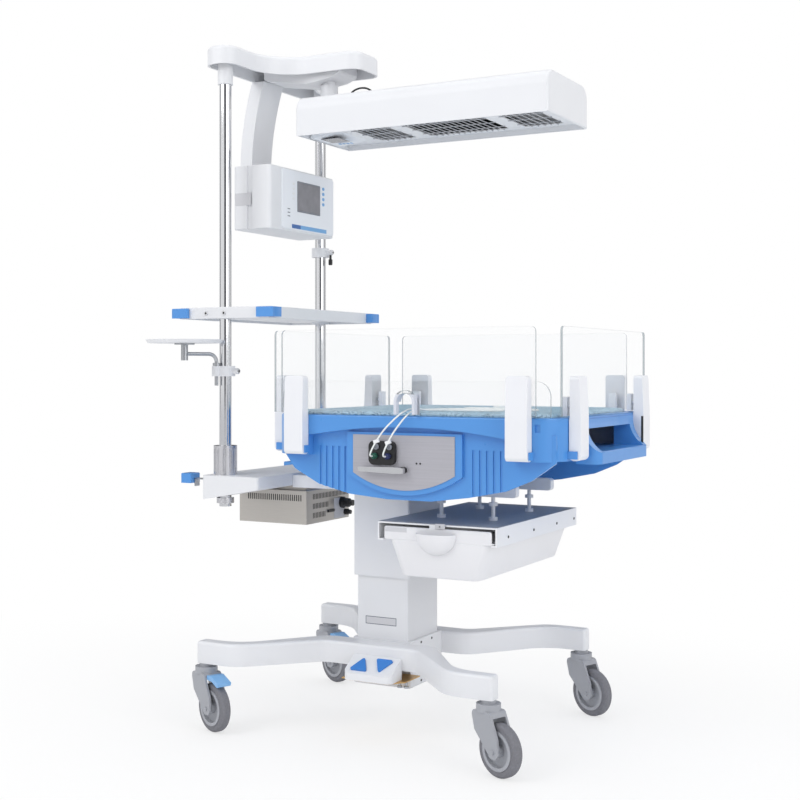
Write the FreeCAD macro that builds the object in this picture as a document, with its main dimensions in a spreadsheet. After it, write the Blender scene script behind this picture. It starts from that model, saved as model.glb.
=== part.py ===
import FreeCAD, Part
import math
import os
import re
import Sketcher
from FreeCAD import Placement, Rotation, Vector

# Infant radiant warmer on four casters. Millimetres, +Z up. The origin is on the floor
# under the lift column. +X points to the foot of the bed and +Y to its far side.

doc = FreeCAD.newDocument("InfantWarmer")
sheet = doc.addObject("Spreadsheet::Sheet", "Sizes")
pieces = []


# Every size by its name. A group starts with the part that it shapes.

SIZES = {
    # casters
    "wheel_dia": 125, "tyre_wide": 32, "hub_dia": 92, "axle_dia": 10, "wheel_gap": 4,
    "caster_tall": 166, "caster_trail": 40, "caster_turn": -22, "stem_dia": 20, "race_dia": 58,
    "cheek_thick": 6, "caster_x": 404, "caster_y": 306, "brake_wide": 40, "brake_reach": 60,
    # base
    "leg_under": 173, "leg_deep": 57, "leg_wide": 40, "leg_tip": 18, "bow_outer": 155,
    "bow_inner": 90, "root_outer": 135, "root_inner": 160, "knee_outer": 300, "knee_inner": 310,
    "root_outer_round": 50, "root_inner_round": 70, "knee_outer_round": 90,
    "knee_inner_round": 110, "leg_end_round": 8, "edge_round": 8, "block_long": 170,
    "block_under": 110, "block_top": 232,
    # foot pedals
    "pedal_x": 26, "pedal_long": 137, "pedal_reach": 62, "pedal_brow": 5, "pedal_top": 203,
    "pedal_under": 147, "pedal_front_tall": 18, "pedal_side": 50, "pedal_tall": 46,
    "pedal_thick": 8, "pedal_spread": 59, "plate_thick": 3,
    # column
    "inner_long": 150, "inner_wide": 170, "inner_wall": 5, "inner_top": 534, "sleeve_wall": 7.6,
    "glide_gap": 0.4, "sleeve_under": 396, "head_plate": 8, "motor_dia": 56, "motor_top": 510,
    "screw_dia": 25, "screw_under": 380,
    # frame
    "bar_y": 115, "bar_wide": 22, "bar_tall": 32, "bar_under": 622, "bar_foot": 395,
    "beam_head": -431, "beam_long": 178, "beam_wide": 580, "beam_tall": 64,
    "beam_foot_tall": 32, "beam_top": 659,
    # power box
    "box_foot": -218, "box_head": -437, "box_wide": 224, "box_under": 521, "box_top": 592,
    "vent_count": 14, "vent_pitch": 7, "vent_wide": 3, "vent_tall": 16,
    # poles
    "pole_x": -392, "pole_y": 239, "pole_dia": 32, "socket_dia": 62, "socket_tall": 77,
    "flute_count": 12, "flute_dia": 5, "cap_dia": 40, "cap_tall": 48, "nut_dia": 46,
    "nut_tall": 14, "clamp_dia": 52, "clamp_tall": 27, "left_clamp_z": 933,
    "right_clamp_z": 1284,
    # yoke
    "yoke_top": 1791, "yoke_tall": 50, "yoke_wing": 90, "yoke_reach": -86, "yoke_arm": 140,
    "yoke_wall": 6, "yoke_blend": 110, "yoke_end": 40,
    # controller
    "arm_bend": 835, "arm_thick": 39, "arm_wide": 96, "arm_foot": -440, "arm_low": 1400,
    "control_head": -421, "control_foot": -300, "control_wide": 330, "control_under": 1316,
    "control_tall": 172, "control_round": 12, "groove_wide": 18, "groove_deep": 4,
    "panel_thick": 2, "panel_margin": 10, "screen_wide": 113, "screen_tall": 72,
    "screen_z": 1420, "screen_y": 28, "key_count": 4, "key_pitch": 18, "key_dia": 9,
    # shelf
    "shelf_head": -518, "shelf_foot": -235, "shelf_wide": 540, "shelf_under": 1072,
    "shelf_tall": 30, "shelf_sink": 12, "shelf_rim": 8, "bumper_out": 22, "bumper_tall": 26,
    "bumper_arm": 40,
    # tray
    "tray_dia": 200, "tray_thick": 5, "tray_lip": 9, "tray_under": 1006, "tray_x": -444,
    "tray_y": -347, "rod_dia": 10, "rod_x": -402, "rod_y": -265, "rod_low": 895, "rod_bend": 22,
    "rod_top": 978, "hub_d": 26, "tail_tall": 34,
    # drawer
    "cover_head": 85, "cover_foot": 406, "cover_wide": 526, "cover_top": 564, "cover_sheet": 4,
    "rail_tall": 46, "rail_lip": 16, "rod_head_x": 187, "rod_foot_x": 330, "hanger_dia": 10,
    "hanger_nut": 22, "drawer_under": 430, "drawer_wall": 4, "drawer_inset": 46,
    "drawer_flange": 10, "drawer_step": 22, "pull_wide": 96, "pull_out": 26,
    "pull_shift": -2,
    # heater
    "swivel_x": -215, "heater_head": -237, "heater_foot": 484, "heater_wide": 274,
    "heater_under": 1560, "heater_top": 1667, "heater_round": 38, "heater_wall": 5,
    "swivel_post": 36, "swivel_flange": 64, "flange_tall": 24, "window_mid": 165,
    "window_step": 215, "window_main": 230, "window_side": 108, "window_wide": 200,
    "reflector_sink": 14, "trough_tall": 44, "element_dia": 14, "grille_bar": 2.4,
    "display_long": 92, "display_wide": 150,
    # bassinet
    "bed_head": -193, "bed_foot": 583, "rim_ledge": 23, "rim_top": 826, "band_tall": 49,
    "post_under": 726, "corner_round": 80, "skirt_wide": 604, "skirt_wall": 8, "rim_width": 34,
    "tub_floor": 727, "floor_thick": 14, "deck_level": 800, "deck_thick": 6, "post_long": 116,
    "arch_bend": 1530, "arch_rise": 22, "tilt_x": 194, "tilt_z": 690, "lug_wide": 44,
    "lug_thick": 8, "tilt_pin": 15, "groove_count": 5, "groove_pitch": 17.8, "groove_cut": 7,
    "shelf_out": 49, "shelf_half": 186, "lip_tall": 27, "cove": 78, "window_half": 155,
    "window_low": 745, "peg_y": 172, "peg_dia": 6, "peg_sink": 6,
    # control plate
    "plate_mid": 182, "plate_long": 276, "plate_up": 785, "surround_edge": 18,
    "plate_bend": 262, "surround_thick": 9, "plate_skin": 2, "sensor_x": 129, "sensor_z": 736,
    "sensor_wide": 72, "sensor_tall": 58, "sensor_out": 10, "handle_long": 116, "handle_x": 186,
    "handle_z": 696, "handle_dia": 12, "handle_stand": 16,
    # mattress
    "mattress_tall": 31, "mattress_gap": 4,
    # panels
    "sheet_thick": 6, "sheet_low": 830, "sheet_top": 1036, "guard_top": 910, "front_head": -160,
    "front_foot": 527, "guard_head": -150, "guard_foot": 566, "end_half": 300,
    "sheet_round": 12, "guard_round": 35, "paddle_wide": 54, "paddle_deep": 28,
    "paddle_top": 922, "pivot_out": 15, "pivot_z": 741, "pivot_dia": 8, "ear_thick": 4,
    "side_lever_head": -104, "side_lever_foot": 493, "end_lever_y": 231, "jaw_wide": 20,
    "jaw_tall": 44, "jaw_thick": 12, "bolt_dia": 8, "port_x": 200, "port_wide": 56,
    "port_tall": 58, "port_wall": 7, "port_deep": 14,
    # leads
    "lead_dia": 4, "plug_dia": 15, "plug_long": 22, "probe_dia": 8, "probe_long": 16,
    "heater_cable_dia": 5,
    # fits
    "running": 0.3, "seat": 0.2,
}

for row, (alias, number) in enumerate(SIZES.items(), start=1):
    sheet.set(f"A{row}", alias)
    sheet.set(f"B{row}", str(number))
    sheet.setAlias(f"B{row}", alias)

# Formulas. A word that is an alias of the sheet is read from it.
WORD = re.compile(r"[A-Za-z_]\w*")


def full(formula):
    return WORD.sub(lambda m: f"Sizes.{m[0]}" if m[0] in SIZES else m[0], str(formula))


def bind(thing, **formulas):
    """Tie properties to formulas. Two underscores in a name stand for a dot."""
    for name, formula in formulas.items():
        thing.setExpression(name.replace("__", "."), full(formula))
    return thing


def keep(label, thing):
    """Name a finished sub-part and add it to the pieces to write."""
    thing.Label = label
    pieces.append(thing)
    return thing


# Solids from primitives


def box(name, x, y, z):
    """A block between two formulas along each axis."""
    made = doc.addObject("Part::Box", name)
    sides = (("Length", "x", x), ("Width", "y", y), ("Height", "z", z))
    for side, axis, (low, high) in sides:
        made.setExpression(side, full(f"({high}) - ({low})"))
        made.setExpression(f"Placement.Base.{axis}", full(low))
    return made


TURNS = {"x": Rotation(Vector(0, 1, 0), 90), "y": Rotation(Vector(1, 0, 0), -90),
         "z": Rotation()}


def rod(name, axis, centre, radius, low, high):
    """A round bar along an axis. The centre is the pair of the other two coordinates."""
    made = doc.addObject("Part::Cylinder", name)
    made.Placement = Placement(Vector(), TURNS[axis])
    others = [letter for letter in "xyz" if letter != axis]
    bind(made, Radius=radius, Height=f"({high}) - ({low})")
    made.setExpression(f"Placement.Base.{axis}", full(low))
    for letter, formula in zip(others, centre):
        made.setExpression(f"Placement.Base.{letter}", full(formula))
    return made


def join(name, *parts):
    made = doc.addObject("Part::MultiFuse", name)
    made.Shapes = list(parts)
    made.Refine = True
    return made


def cut(name, base, *tools):
    made = doc.addObject("Part::Cut", name)
    made.Base = base
    made.Tool = tools[0] if len(tools) == 1 else join(name + "Tools", *tools)
    return made


def overlap(name, first, second):
    made = doc.addObject("Part::Common", name)
    made.Base, made.Tool = first, second
    return made


def group(name, *parts):
    made = doc.addObject("Part::Compound", name)
    made.Links = list(parts)
    return made


def moved(name, source, x="0", y="0", z="0", turn="0"):
    """A copy of a solid, turned about its own origin's Z axis and then moved."""
    made = group(name, source)
    bind(made, Placement__Base__x=x, Placement__Base__y=y, Placement__Base__z=z,
         Placement__Rotation__Angle=turn)
    return made


# Bodies from sketches


def body(name):
    return doc.addObject("PartDesign::Body", name)


def sketch(owner, flat, level):
    """An empty sketch parallel to one of the body's planes, at a level along its normal."""
    drawn = owner.newObject("Sketcher::SketchObject", owner.Name + "Sketch")
    planes = {feature.Role: feature for feature in owner.Origin.OriginFeatures}
    drawn.AttachmentSupport = [(planes[flat + "_Plane"], "")]
    drawn.MapMode = "FlatFace"
    return bind(drawn, AttachmentOffset__Base__z=level)


def hold(drawn, point, across, up):
    """Fix a point of a sketch at two formulas measured from the sketch's origin."""
    for kind, formula in (("DistanceX", across), ("DistanceY", up)):
        index = drawn.addConstraint(Sketcher.Constraint(kind, -1, 1, *point, 10.0))
        drawn.setExpression(f"Constraints[{index}]", full(formula))


def outline(drawn, corners):
    """A closed outline of straight edges with its corners at pairs of formulas."""
    count = len(corners)
    turn = 2 * math.pi / count
    rough = [Vector(100 * math.cos(i * turn), 100 * math.sin(i * turn), 0) for i in range(count)]
    drawn.addGeometry([Part.LineSegment(rough[i], rough[(i + 1) % count]) for i in range(count)])
    drawn.addConstraint([Sketcher.Constraint("Coincident", i, 2, (i + 1) % count, 1)
                         for i in range(count)])
    for i, (across, up) in enumerate(corners):
        hold(drawn, (i, 1), across, up)


def circle(drawn, across, up, radius):
    index = drawn.addGeometry(Part.Circle(Vector(10, 10, 0), Vector(0, 0, 1), 10))
    hold(drawn, (index, 3), across, up)
    size = drawn.addConstraint(Sketcher.Constraint("Radius", index, 10.0))
    drawn.setExpression(f"Constraints[{size}]", full(radius))


def draw(owner, flat, level, shape):
    drawn = sketch(owner, flat, level)
    circle(drawn, *shape) if isinstance(shape, tuple) else outline(drawn, shape)
    return drawn


def pad(owner, flat, shape, low, high):
    """Add material between two levels. A list is an outline and a tuple a circle."""
    drawn = draw(owner, flat, f"-({high})" if flat == "XZ" else low, shape)
    made = owner.newObject("PartDesign::Pad", owner.Name + "Pad")
    made.Profile = drawn
    return bind(made, Length=f"({high}) - ({low})")


def pocket(owner, flat, shape, low, high):
    """Remove material between two levels."""
    drawn = draw(owner, flat, f"-({low})" if flat == "XZ" else high, shape)
    made = owner.newObject("PartDesign::Pocket", owner.Name + "Pocket")
    made.Profile = drawn
    return bind(made, Length=f"({high}) - ({low})")


def spun(owner, profile, flat="XZ"):
    """Turn an outline of (radius, height) pairs about the body's vertical axis."""
    drawn = draw(owner, flat, "0", profile)
    made = owner.newObject("PartDesign::Revolution", owner.Name + "Turned")
    made.Profile = drawn
    made.ReferenceAxis = (drawn, ["V_Axis"])
    made.Angle = 360
    return made


def soften(owner, radius, wanted):
    """Round the straight or curved edges of the body that a test picks."""
    doc.recompute()
    base = owner.Tip
    names = [f"Edge{i}" for i, edge in enumerate(base.Shape.Edges, start=1) if wanted(edge)]
    made = owner.newObject("PartDesign::Fillet", owner.Name + "Fillet")
    made.Base = (base, names)
    return bind(made, Radius=radius)


def along(edge, axis):
    """Whether an edge is a straight one parallel to an axis."""
    if edge.Curve.TypeId != "Part::GeomLine":
        return False
    way = edge.tangentAt(edge.FirstParameter)
    return abs(getattr(way, axis)) > 0.999


def level_at(edge, axis, where, slack=0.01):
    """Whether all of an edge lies at one coordinate."""
    span = edge.BoundBox
    low, high = getattr(span, axis.upper() + "Min"), getattr(span, axis.upper() + "Max")
    return abs(low - where) < slack and abs(high - where) < slack


def frame_outline(low_x, high_x, half_y, inset="0"):
    """The four corners of a rectangle centred on Y = 0, moved in by an inset."""
    return [(f"{low_x} + {inset}", f"-({half_y}) + {inset}"),
            (f"{high_x} - {inset}", f"-({half_y}) + {inset}"),
            (f"{high_x} - {inset}", f"{half_y} - {inset}"),
            (f"{low_x} + {inset}", f"{half_y} - {inset}")]


# Base: cast centre block and four curved legs


def bow_outline(side_y):
    """The plan of one bow: along the block, slanting out, then straight over its casters."""
    outer, inner = "(caster_y + leg_wide / 2)", "(caster_y - leg_wide / 2)"
    tip = "(caster_x + leg_tip)"
    half = [(tip, outer), ("knee_outer", outer), ("root_outer", "bow_outer"),
            ("-root_outer", "bow_outer"), ("-knee_outer", outer), (f"-{tip}", outer),
            (f"-{tip}", inner), ("-knee_inner", inner), ("-root_inner", "bow_inner"),
            ("root_inner", "bow_inner"), ("knee_inner", inner), (tip, inner)]
    return [(x, f"{side_y} * ({y})") for x, y in half]


def base_bow(name, side_y):
    """A casting bent like a bow, with a caster under each end."""
    bow = body(name)
    pad(bow, "XY", bow_outline(side_y), "leg_under", "leg_under + leg_deep")
    outer = SIZES["caster_y"] + SIZES["leg_wide"] / 2
    inner = SIZES["caster_y"] - SIZES["leg_wide"] / 2

    def corner(x, y):
        return (lambda e: along(e, "z") and abs(abs(e.CenterOfMass.x) - x) < 1
                and abs(abs(e.CenterOfMass.y) - y) < 1)

    soften(bow, "knee_outer_round", corner(SIZES["knee_outer"], outer))
    soften(bow, "knee_inner_round", corner(SIZES["knee_inner"], inner))
    soften(bow, "root_outer_round", corner(SIZES["root_outer"], SIZES["bow_outer"]))
    soften(bow, "root_inner_round", corner(SIZES["root_inner"], SIZES["bow_inner"]))
    tip = SIZES["caster_x"] + SIZES["leg_tip"]
    soften(bow, "leg_end_round",
           lambda e: along(e, "z") and abs(abs(e.CenterOfMass.x) - tip) < 1)
    top = SIZES["leg_under"] + SIZES["leg_deep"]
    soften(bow, "edge_round", lambda e: level_at(e, "z", top)
           and not level_at(e, "y", side_y * SIZES["bow_inner"]))
    for end_x in (-1, 1):
        pocket(bow, "XY", (f"{end_x} * caster_x", f"{side_y} * caster_y",
                           "stem_dia / 2 + running"), "leg_under", "leg_under + leg_deep - 12")
    return bow


def build_base():
    block = body("BaseBlock")
    pad(block, "XY", frame_outline("-block_long / 2", "block_long / 2", "bow_inner - seat"),
        "block_under", "block_top")
    soften(block, "edge_round", lambda e: level_at(e, "z", SIZES["block_under"]))
    keep("base_block", block)
    keep("base_legs", group("BaseLegs", base_bow("FrontBow", -1), base_bow("BackBow", 1)))


# Casters, built about their stem at the floor with the wheel trailing along +X

CORNERS = {"front_head": (-1, -1), "front_foot": (1, -1), "back_head": (-1, 1),
           "back_foot": (1, 1)}


def caster_wheel():
    """A tyre and the ribbed disc that it is moulded on, as two solids about the Y axis."""
    tyre = body("Tyre")
    spun(tyre, [("hub_dia / 2 + seat", "-tyre_wide / 2 + 3"),
                ("wheel_dia / 2", "-tyre_wide / 2 + 3"),
                ("wheel_dia / 2", "tyre_wide / 2 - 3"),
                ("hub_dia / 2 + seat", "tyre_wide / 2 - 3")])
    soften(tyre, "wheel_gap + 4", lambda e: abs(e.BoundBox.XMax - SIZES["wheel_dia"] / 2) < 0.1
           and e.Curve.TypeId == "Part::GeomCircle")
    disc = body("Disc")
    bore, boss, rim = "axle_dia / 2 + running", "axle_dia / 2 + 9", "hub_dia / 2 - 8"
    spun(disc, [(bore, "-tyre_wide / 2"), (boss, "-tyre_wide / 2"), (boss, "-4"), (rim, "-4"),
                (rim, "-tyre_wide / 2 + 1"), ("hub_dia / 2", "-tyre_wide / 2 + 1"),
                ("hub_dia / 2", "tyre_wide / 2 - 1"), (rim, "tyre_wide / 2 - 1"), (rim, "4"),
                (boss, "4"), (boss, "tyre_wide / 2"), (bore, "tyre_wide / 2")])
    wheel = group("WheelUpright", tyre, disc)
    wheel.Placement = Placement(Vector(), Rotation(Vector(1, 0, 0), 90))
    return bind(wheel, Placement__Base__x="caster_trail", Placement__Base__z="wheel_dia / 2")


def caster_fork():
    """A moulded housing with two curved cheeks, the swivel race and the stem."""
    half = "(tyre_wide / 2 + wheel_gap + cheek_thick)"
    slot = "(tyre_wide / 2 + wheel_gap)"
    shoulder = "(caster_tall - 30)"
    fork = body("Fork")
    pad(fork, "XZ", [("-race_dia / 2", "caster_tall - 16"), ("-race_dia / 2", shoulder),
                     ("-race_dia / 2 + 8", "caster_tall - 62"),
                     ("caster_trail - 18", "wheel_dia / 2 - 4"),
                     ("caster_trail - 9", "wheel_dia / 2 - 16"),
                     ("caster_trail + 9", "wheel_dia / 2 - 16"),
                     ("caster_trail + 18", "wheel_dia / 2 - 4"),
                     ("caster_trail + 14", "wheel_dia / 2 + 30"),
                     ("race_dia / 2 + 6", shoulder), ("race_dia / 2", "caster_tall - 16")],
        f"-{half}", half)
    soften(fork, "10", lambda e: along(e, "y"))
    pocket(fork, "XZ", [("-race_dia", "0"), ("race_dia * 3", "0"), ("race_dia * 3", shoulder),
                        ("-race_dia", shoulder)], f"-{slot}", slot)
    pad(fork, "XY", ("0", "0", "race_dia / 2"), "caster_tall - 20", "caster_tall - 2")
    pad(fork, "XY", ("0", "0", "race_dia / 2 - 11"), "caster_tall - 2", "leg_under - running")
    pad(fork, "XY", ("0", "0", "stem_dia / 2"), "leg_under - running", "leg_under + leg_deep - 16")
    pad(fork, "XZ", ("caster_trail", "wheel_dia / 2", "axle_dia / 2"), f"-{half} - 3",
        f"{half} + 3")
    return fork


def brake_pedal():
    """A toe plate on the trailing side of the fork, above the wheel."""
    toe = body("BrakePedal")
    high = "caster_tall"
    root = "race_dia / 2 + 5.2 + running"
    pad(toe, "XZ", [(root, f"{high} - 19"), ("race_dia / 2 + 22", f"{high} - 18"),
                    ("race_dia / 2 + brake_reach", f"{high} - 34"),
                    ("race_dia / 2 + brake_reach - 4", f"{high} - 44"),
                    ("race_dia / 2 + 30", f"{high} - 32"),
                    (root, f"{high} - 30")],
        "-brake_wide / 2", "brake_wide / 2")
    soften(toe, "3", lambda e: along(e, "y"))
    return toe


def build_casters():
    parts = {"caster_fork": caster_fork(), "caster_wheel": caster_wheel(),
             "brake_pedal": brake_pedal()}
    for corner, (end, side) in CORNERS.items():
        for name, solid in parts.items():
            if name == "brake_pedal" and end > 0:
                continue
            label = f"{name}_{corner}"
            keep(label, moved(label, solid, f"{end} * caster_x", f"{side} * caster_y",
                              turn="caster_turn"))


# Foot pedals for the lift


def build_pedals():
    back, front = "-bow_outer", "-bow_outer - pedal_reach"
    top, low = "pedal_top", "pedal_under + plate_thick"
    ends = ("pedal_x - pedal_long / 2", "pedal_x + pedal_long / 2")
    brow, foot = f"{back} - pedal_brow", f"{low} + pedal_front_tall"
    housing = body("PedalHousing")
    pad(housing, "XY", [(ends[0], back), (ends[0], front), (ends[1], front), (ends[1], back)], low,
        top)
    soften(housing, "14",
           lambda e: along(e, "z") and e.CenterOfMass.y < -SIZES["bow_outer"] - 20)
    pocket(housing, "YZ", [(brow, top), (front, foot), (f"{front} - 10", foot),
                           (f"{front} - 10", f"{top} + 5"), (brow, f"{top} + 5")], *ends)
    run = SIZES["pedal_reach"] - SIZES["pedal_brow"]
    rise = SIZES["pedal_top"] - SIZES["pedal_under"] - SIZES["plate_thick"]
    rise -= SIZES["pedal_front_tall"]
    tilt = Rotation(Vector(1, 0, 0), math.degrees(math.atan2(rise, run)))
    middle = Vector(SIZES["pedal_x"],
                    -SIZES["bow_outer"] - SIZES["pedal_brow"] - run / 2,
                    SIZES["pedal_top"] - rise / 2)

    def pedal(name, side, depth, grow):
        """A three-cornered toe pad, pointing up to raise the bed and down to lower it."""
        toe = body(name)
        wide, tall = f"(pedal_side / 2 + 2 * ({grow}))", f"(pedal_tall / 2 + {grow})"
        pad(toe, "XY", [(f"-{wide}", f"{side} * {tall}"), (wide, f"{side} * {tall}"),
                        ("0", f"{-side} * {tall}")],
            f"-({depth})", "pedal_thick - 3" if grow == "0" else "20")
        soften(toe, "4", lambda e: along(e, "z"))
        toe.Placement = Placement(middle + Vector(side * SIZES["pedal_spread"] / 2, 0, 0), tilt)
        return toe

    recesses = [pedal(f"PedalRecess{i}", side, "9", "running + seat")
                for i, side in enumerate((-1, 1))]
    unit = cut("PedalUnit", housing, *recesses)
    keep("pedal_raise", pedal("PedalRaise", -1, "3", "0"))
    keep("pedal_lower", pedal("PedalLower", 1, "3", "0"))
    plate = body("PedalPlate")
    pad(plate, "XY", [("pedal_x - pedal_long / 2 - 14", "-bow_inner"),
                      ("pedal_x - pedal_long / 2 - 14", f"{front} + 18"),
                      ("pedal_x + pedal_long / 2 - 12", f"{front} + 18"),
                      ("pedal_x + pedal_long / 2 + 18", f"{back} - 14"),
                      ("pedal_x + pedal_long / 2 + 18", "-bow_inner")],
        "pedal_under", "pedal_under + plate_thick")
    keep("pedal_housing", group("PedalHousingUnit", unit, plate))


# Lift column


def tube(name, long_side, wide_side, wall, low, high, rounding):
    made = body(name)
    pad(made, "XY", frame_outline(f"-({long_side}) / 2", f"({long_side}) / 2",
                                  f"({wide_side}) / 2"),
        low, high)
    soften(made, rounding, lambda e: along(e, "z"))
    pocket(made, "XY", frame_outline(f"-({long_side}) / 2", f"({long_side}) / 2",
                                     f"({wide_side}) / 2", wall), low, high)
    return made


def build_column():
    keep("inner_column", tube("InnerColumn", "inner_long", "inner_wide", "inner_wall",
                              "block_top", "inner_top", "2"))
    spread = "2 * (sleeve_wall + glide_gap)"
    sleeve = tube("Sleeve", f"inner_long + {spread}", f"inner_wide + {spread}", "sleeve_wall",
                  "sleeve_under", "bar_under + bar_tall", "5")
    head = frame_outline("-inner_long / 2 - 14", "inner_long / 2 + 14", "bar_y + bar_wide / 2")
    pad(sleeve, "XY", head, "bar_under + bar_tall", "bar_under + bar_tall + head_plate")
    keep("column_sleeve", sleeve)
    motor = body("LiftMotor")
    pad(motor, "XY", ("0", "0", "motor_dia / 2"), "block_top", "motor_top")
    pocket(motor, "XY", ("0", "0", "screw_dia / 2 + running"), "block_top + 8", "motor_top")
    keep("lift_motor", motor)
    keep("lift_rod", rod("LiftRod", "z", ("0", "0"), "screw_dia / 2", "screw_under",
                         "bar_under + bar_tall"))


# Carrying frame: wedge beam at the head end, two bars under the bed


def build_frame():
    foot = "beam_head + beam_long"
    beam = body("CrossBeam")
    pad(beam, "XZ", [("beam_head", "beam_top - beam_tall"), (foot, "beam_top - beam_foot_tall"),
                     (foot, "beam_top"), ("beam_head", "beam_top")], "-beam_wide / 2",
                     "beam_wide / 2")
    soften(beam, "edge_round", lambda e: along(e, "z"))
    for side in ("-", ""):
        pocket(beam, "XY", ("pole_x", f"{side}pole_y", "pole_dia / 2 + seat"),
               "beam_top - beam_tall - 10", "beam_top")
    keep("cross_beam", beam)
    bars = []
    for index, side in enumerate((-1, 1)):
        middle = f"{side} * bar_y"
        bar = body(f"Bar{index}")
        pad(bar, "XZ", [(f"{foot}", "bar_under"), ("bar_foot", "bar_under"),
                        ("bar_foot", "bar_under + bar_tall"), (f"{foot}", "bar_under + bar_tall")],
            f"{middle} - bar_wide / 2", f"{middle} + bar_wide / 2")
        soften(bar, "edge_round", lambda e: along(e, "y") and e.CenterOfMass.x > 0)
        pad(bar, "XZ", [("tilt_x - lug_wide / 2", "bar_under + bar_tall - 1"),
                        ("tilt_x + lug_wide / 2", "bar_under + bar_tall - 1"),
                        ("tilt_x + lug_wide / 2 - 8", "tilt_z + 12"),
                        ("tilt_x - lug_wide / 2 + 8", "tilt_z + 12")],
            f"{middle} - lug_thick / 2", f"{middle} + lug_thick / 2")
        out = f"{side} * (bar_y + lug_thick)"
        pad(bar, "XZ", ("tilt_x", "tilt_z", "tilt_pin / 2"), f"{out} - lug_thick * 1.5",
            f"{out} + lug_thick * 1.5")
        bars.append(bar)
    hangers = []
    for i, (x, sign) in enumerate((x, s) for x in ("rod_head_x", "rod_foot_x") for s in ("-", "")):
        hanger = body(f"Hanger{i}")
        centre = (x, f"{sign}bar_y")
        pad(hanger, "XY", (*centre, "hanger_dia / 2"), "cover_top", "bar_under")
        pad(hanger, "XY", (*centre, "hanger_nut / 2"), "cover_top", "cover_top + 8")
        pad(hanger, "XY", (*centre, "hanger_nut / 2"), "bar_under - 22", "bar_under - 14")
        hangers.append(hanger)
    keep("support_bars", group("SupportBars", *bars, *hangers))


def build_power_box():
    case = body("PowerBox")
    pad(case, "XY", frame_outline("box_head", "box_foot", "box_wide / 2"), "box_under", "box_top")
    soften(case, "3", lambda e: along(e, "z"))
    pad(case, "XZ", [("beam_head + 20", "box_top - 1"),
                     ("beam_head + beam_long - 20", "box_top - 1"),
                     ("beam_head + beam_long - 20",
                      "beam_top - beam_tall"
                      " + (beam_tall - beam_foot_tall) * (beam_long - 20) / beam_long"),
                     ("beam_head + 20",
                      "beam_top - beam_tall + (beam_tall - beam_foot_tall) * 20 / beam_long")],
        "-box_wide / 2 + 20", "box_wide / 2 - 20")
    for i in range(SIZES["vent_count"]):
        left = f"box_head + 40 + {i} * vent_pitch"
        pocket(case, "XZ", [(left, "box_top - 8 - vent_tall"),
                            (f"{left} + vent_wide", "box_top - 8 - vent_tall"),
                            (f"{left} + vent_wide", "box_top - 8"), (left, "box_top - 8")],
               "-box_wide / 2", "-box_wide / 2 + 3")
    keep("power_box", case)


def build_poles():
    for side, sign in (("left", "-"), ("right", "")):
        centre = ("pole_x", f"{sign}pole_y")
        keep(f"{side}_pole", rod(f"Pole{side}", "z", centre, "pole_dia / 2",
                                 "beam_top - beam_tall - nut_tall - 6", "yoke_top - yoke_wall"))
    parts = []
    for index, sign in enumerate(("-", "")):
        centre = ("pole_x", f"{sign}pole_y")
        socket = body(f"PoleSocket{index}")
        pad(socket, "XY", (*centre, "socket_dia / 2"), "beam_top", "beam_top + socket_tall")
        pocket(socket, "XY", (*centre, "pole_dia / 2 + seat"), "beam_top", "beam_top + socket_tall")
        for step in range(SIZES["flute_count"]):
            angle = f"{360 / SIZES['flute_count'] * step}"
            pocket(socket, "XY", (f"pole_x + socket_dia / 2 * cos({angle})",
                                  f"{sign}pole_y + socket_dia / 2 * sin({angle})", "flute_dia / 2"),
                   "beam_top + 8", "beam_top + socket_tall - 8")
        nut_top = "beam_top - beam_tall + (pole_x - beam_head - nut_dia / 2) * 0.18"
        nut = body(f"PoleNut{index}")
        pad(nut, "XY", (*centre, "nut_dia / 2"), f"{nut_top} - nut_tall", nut_top)
        pocket(nut, "XY", (*centre, "pole_dia / 2 + seat"), f"{nut_top} - nut_tall", nut_top)
        parts += [socket, nut]
    keep("pole_sockets", group("PoleSockets", *parts))
    clamps = []
    for index, (sign, level) in enumerate((("-", "left_clamp_z"), ("", "right_clamp_z"))):
        clamp = body(f"Clamp{index}")
        low, high = f"{level} - clamp_tall / 2", f"{level} + clamp_tall / 2"
        pad(clamp, "XY", ("pole_x", f"{sign}pole_y", "clamp_dia / 2"), low, high)
        if sign == "-":
            pad(clamp, "XY", ("rod_x", "rod_y", "rod_dia / 2 + 7"), low, high)
            pocket(clamp, "XY", ("rod_x", "rod_y", "rod_dia / 2 + running"), low, high)
        pocket(clamp, "XY", ("pole_x", f"{sign}pole_y", "pole_dia / 2 + seat"), low, high)
        pad(clamp, "YZ", (f"{sign}pole_y", level, "8"), "pole_x + clamp_dia / 2 - 4",
            "pole_x + clamp_dia / 2 + 16")
        clamps.append(clamp)
    keep("pole_clamps", group("PoleClamps", *clamps))


# Yoke over the two poles


def yoke_outline(inset):
    back, front = f"pole_x - yoke_wing / 2 + {inset}", f"pole_x + yoke_wing / 2 - {inset}"
    end = f"pole_y + yoke_wing / 2 - {inset}"
    arm, reach = f"yoke_arm / 2 - {inset}", f"yoke_reach - {inset}"
    return [(back, f"-({end})"), (front, f"-({end})"), (front, f"-({arm})"),
            (reach, f"-({arm})"), (reach, arm), (front, arm), (front, end), (back, end)]


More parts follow.
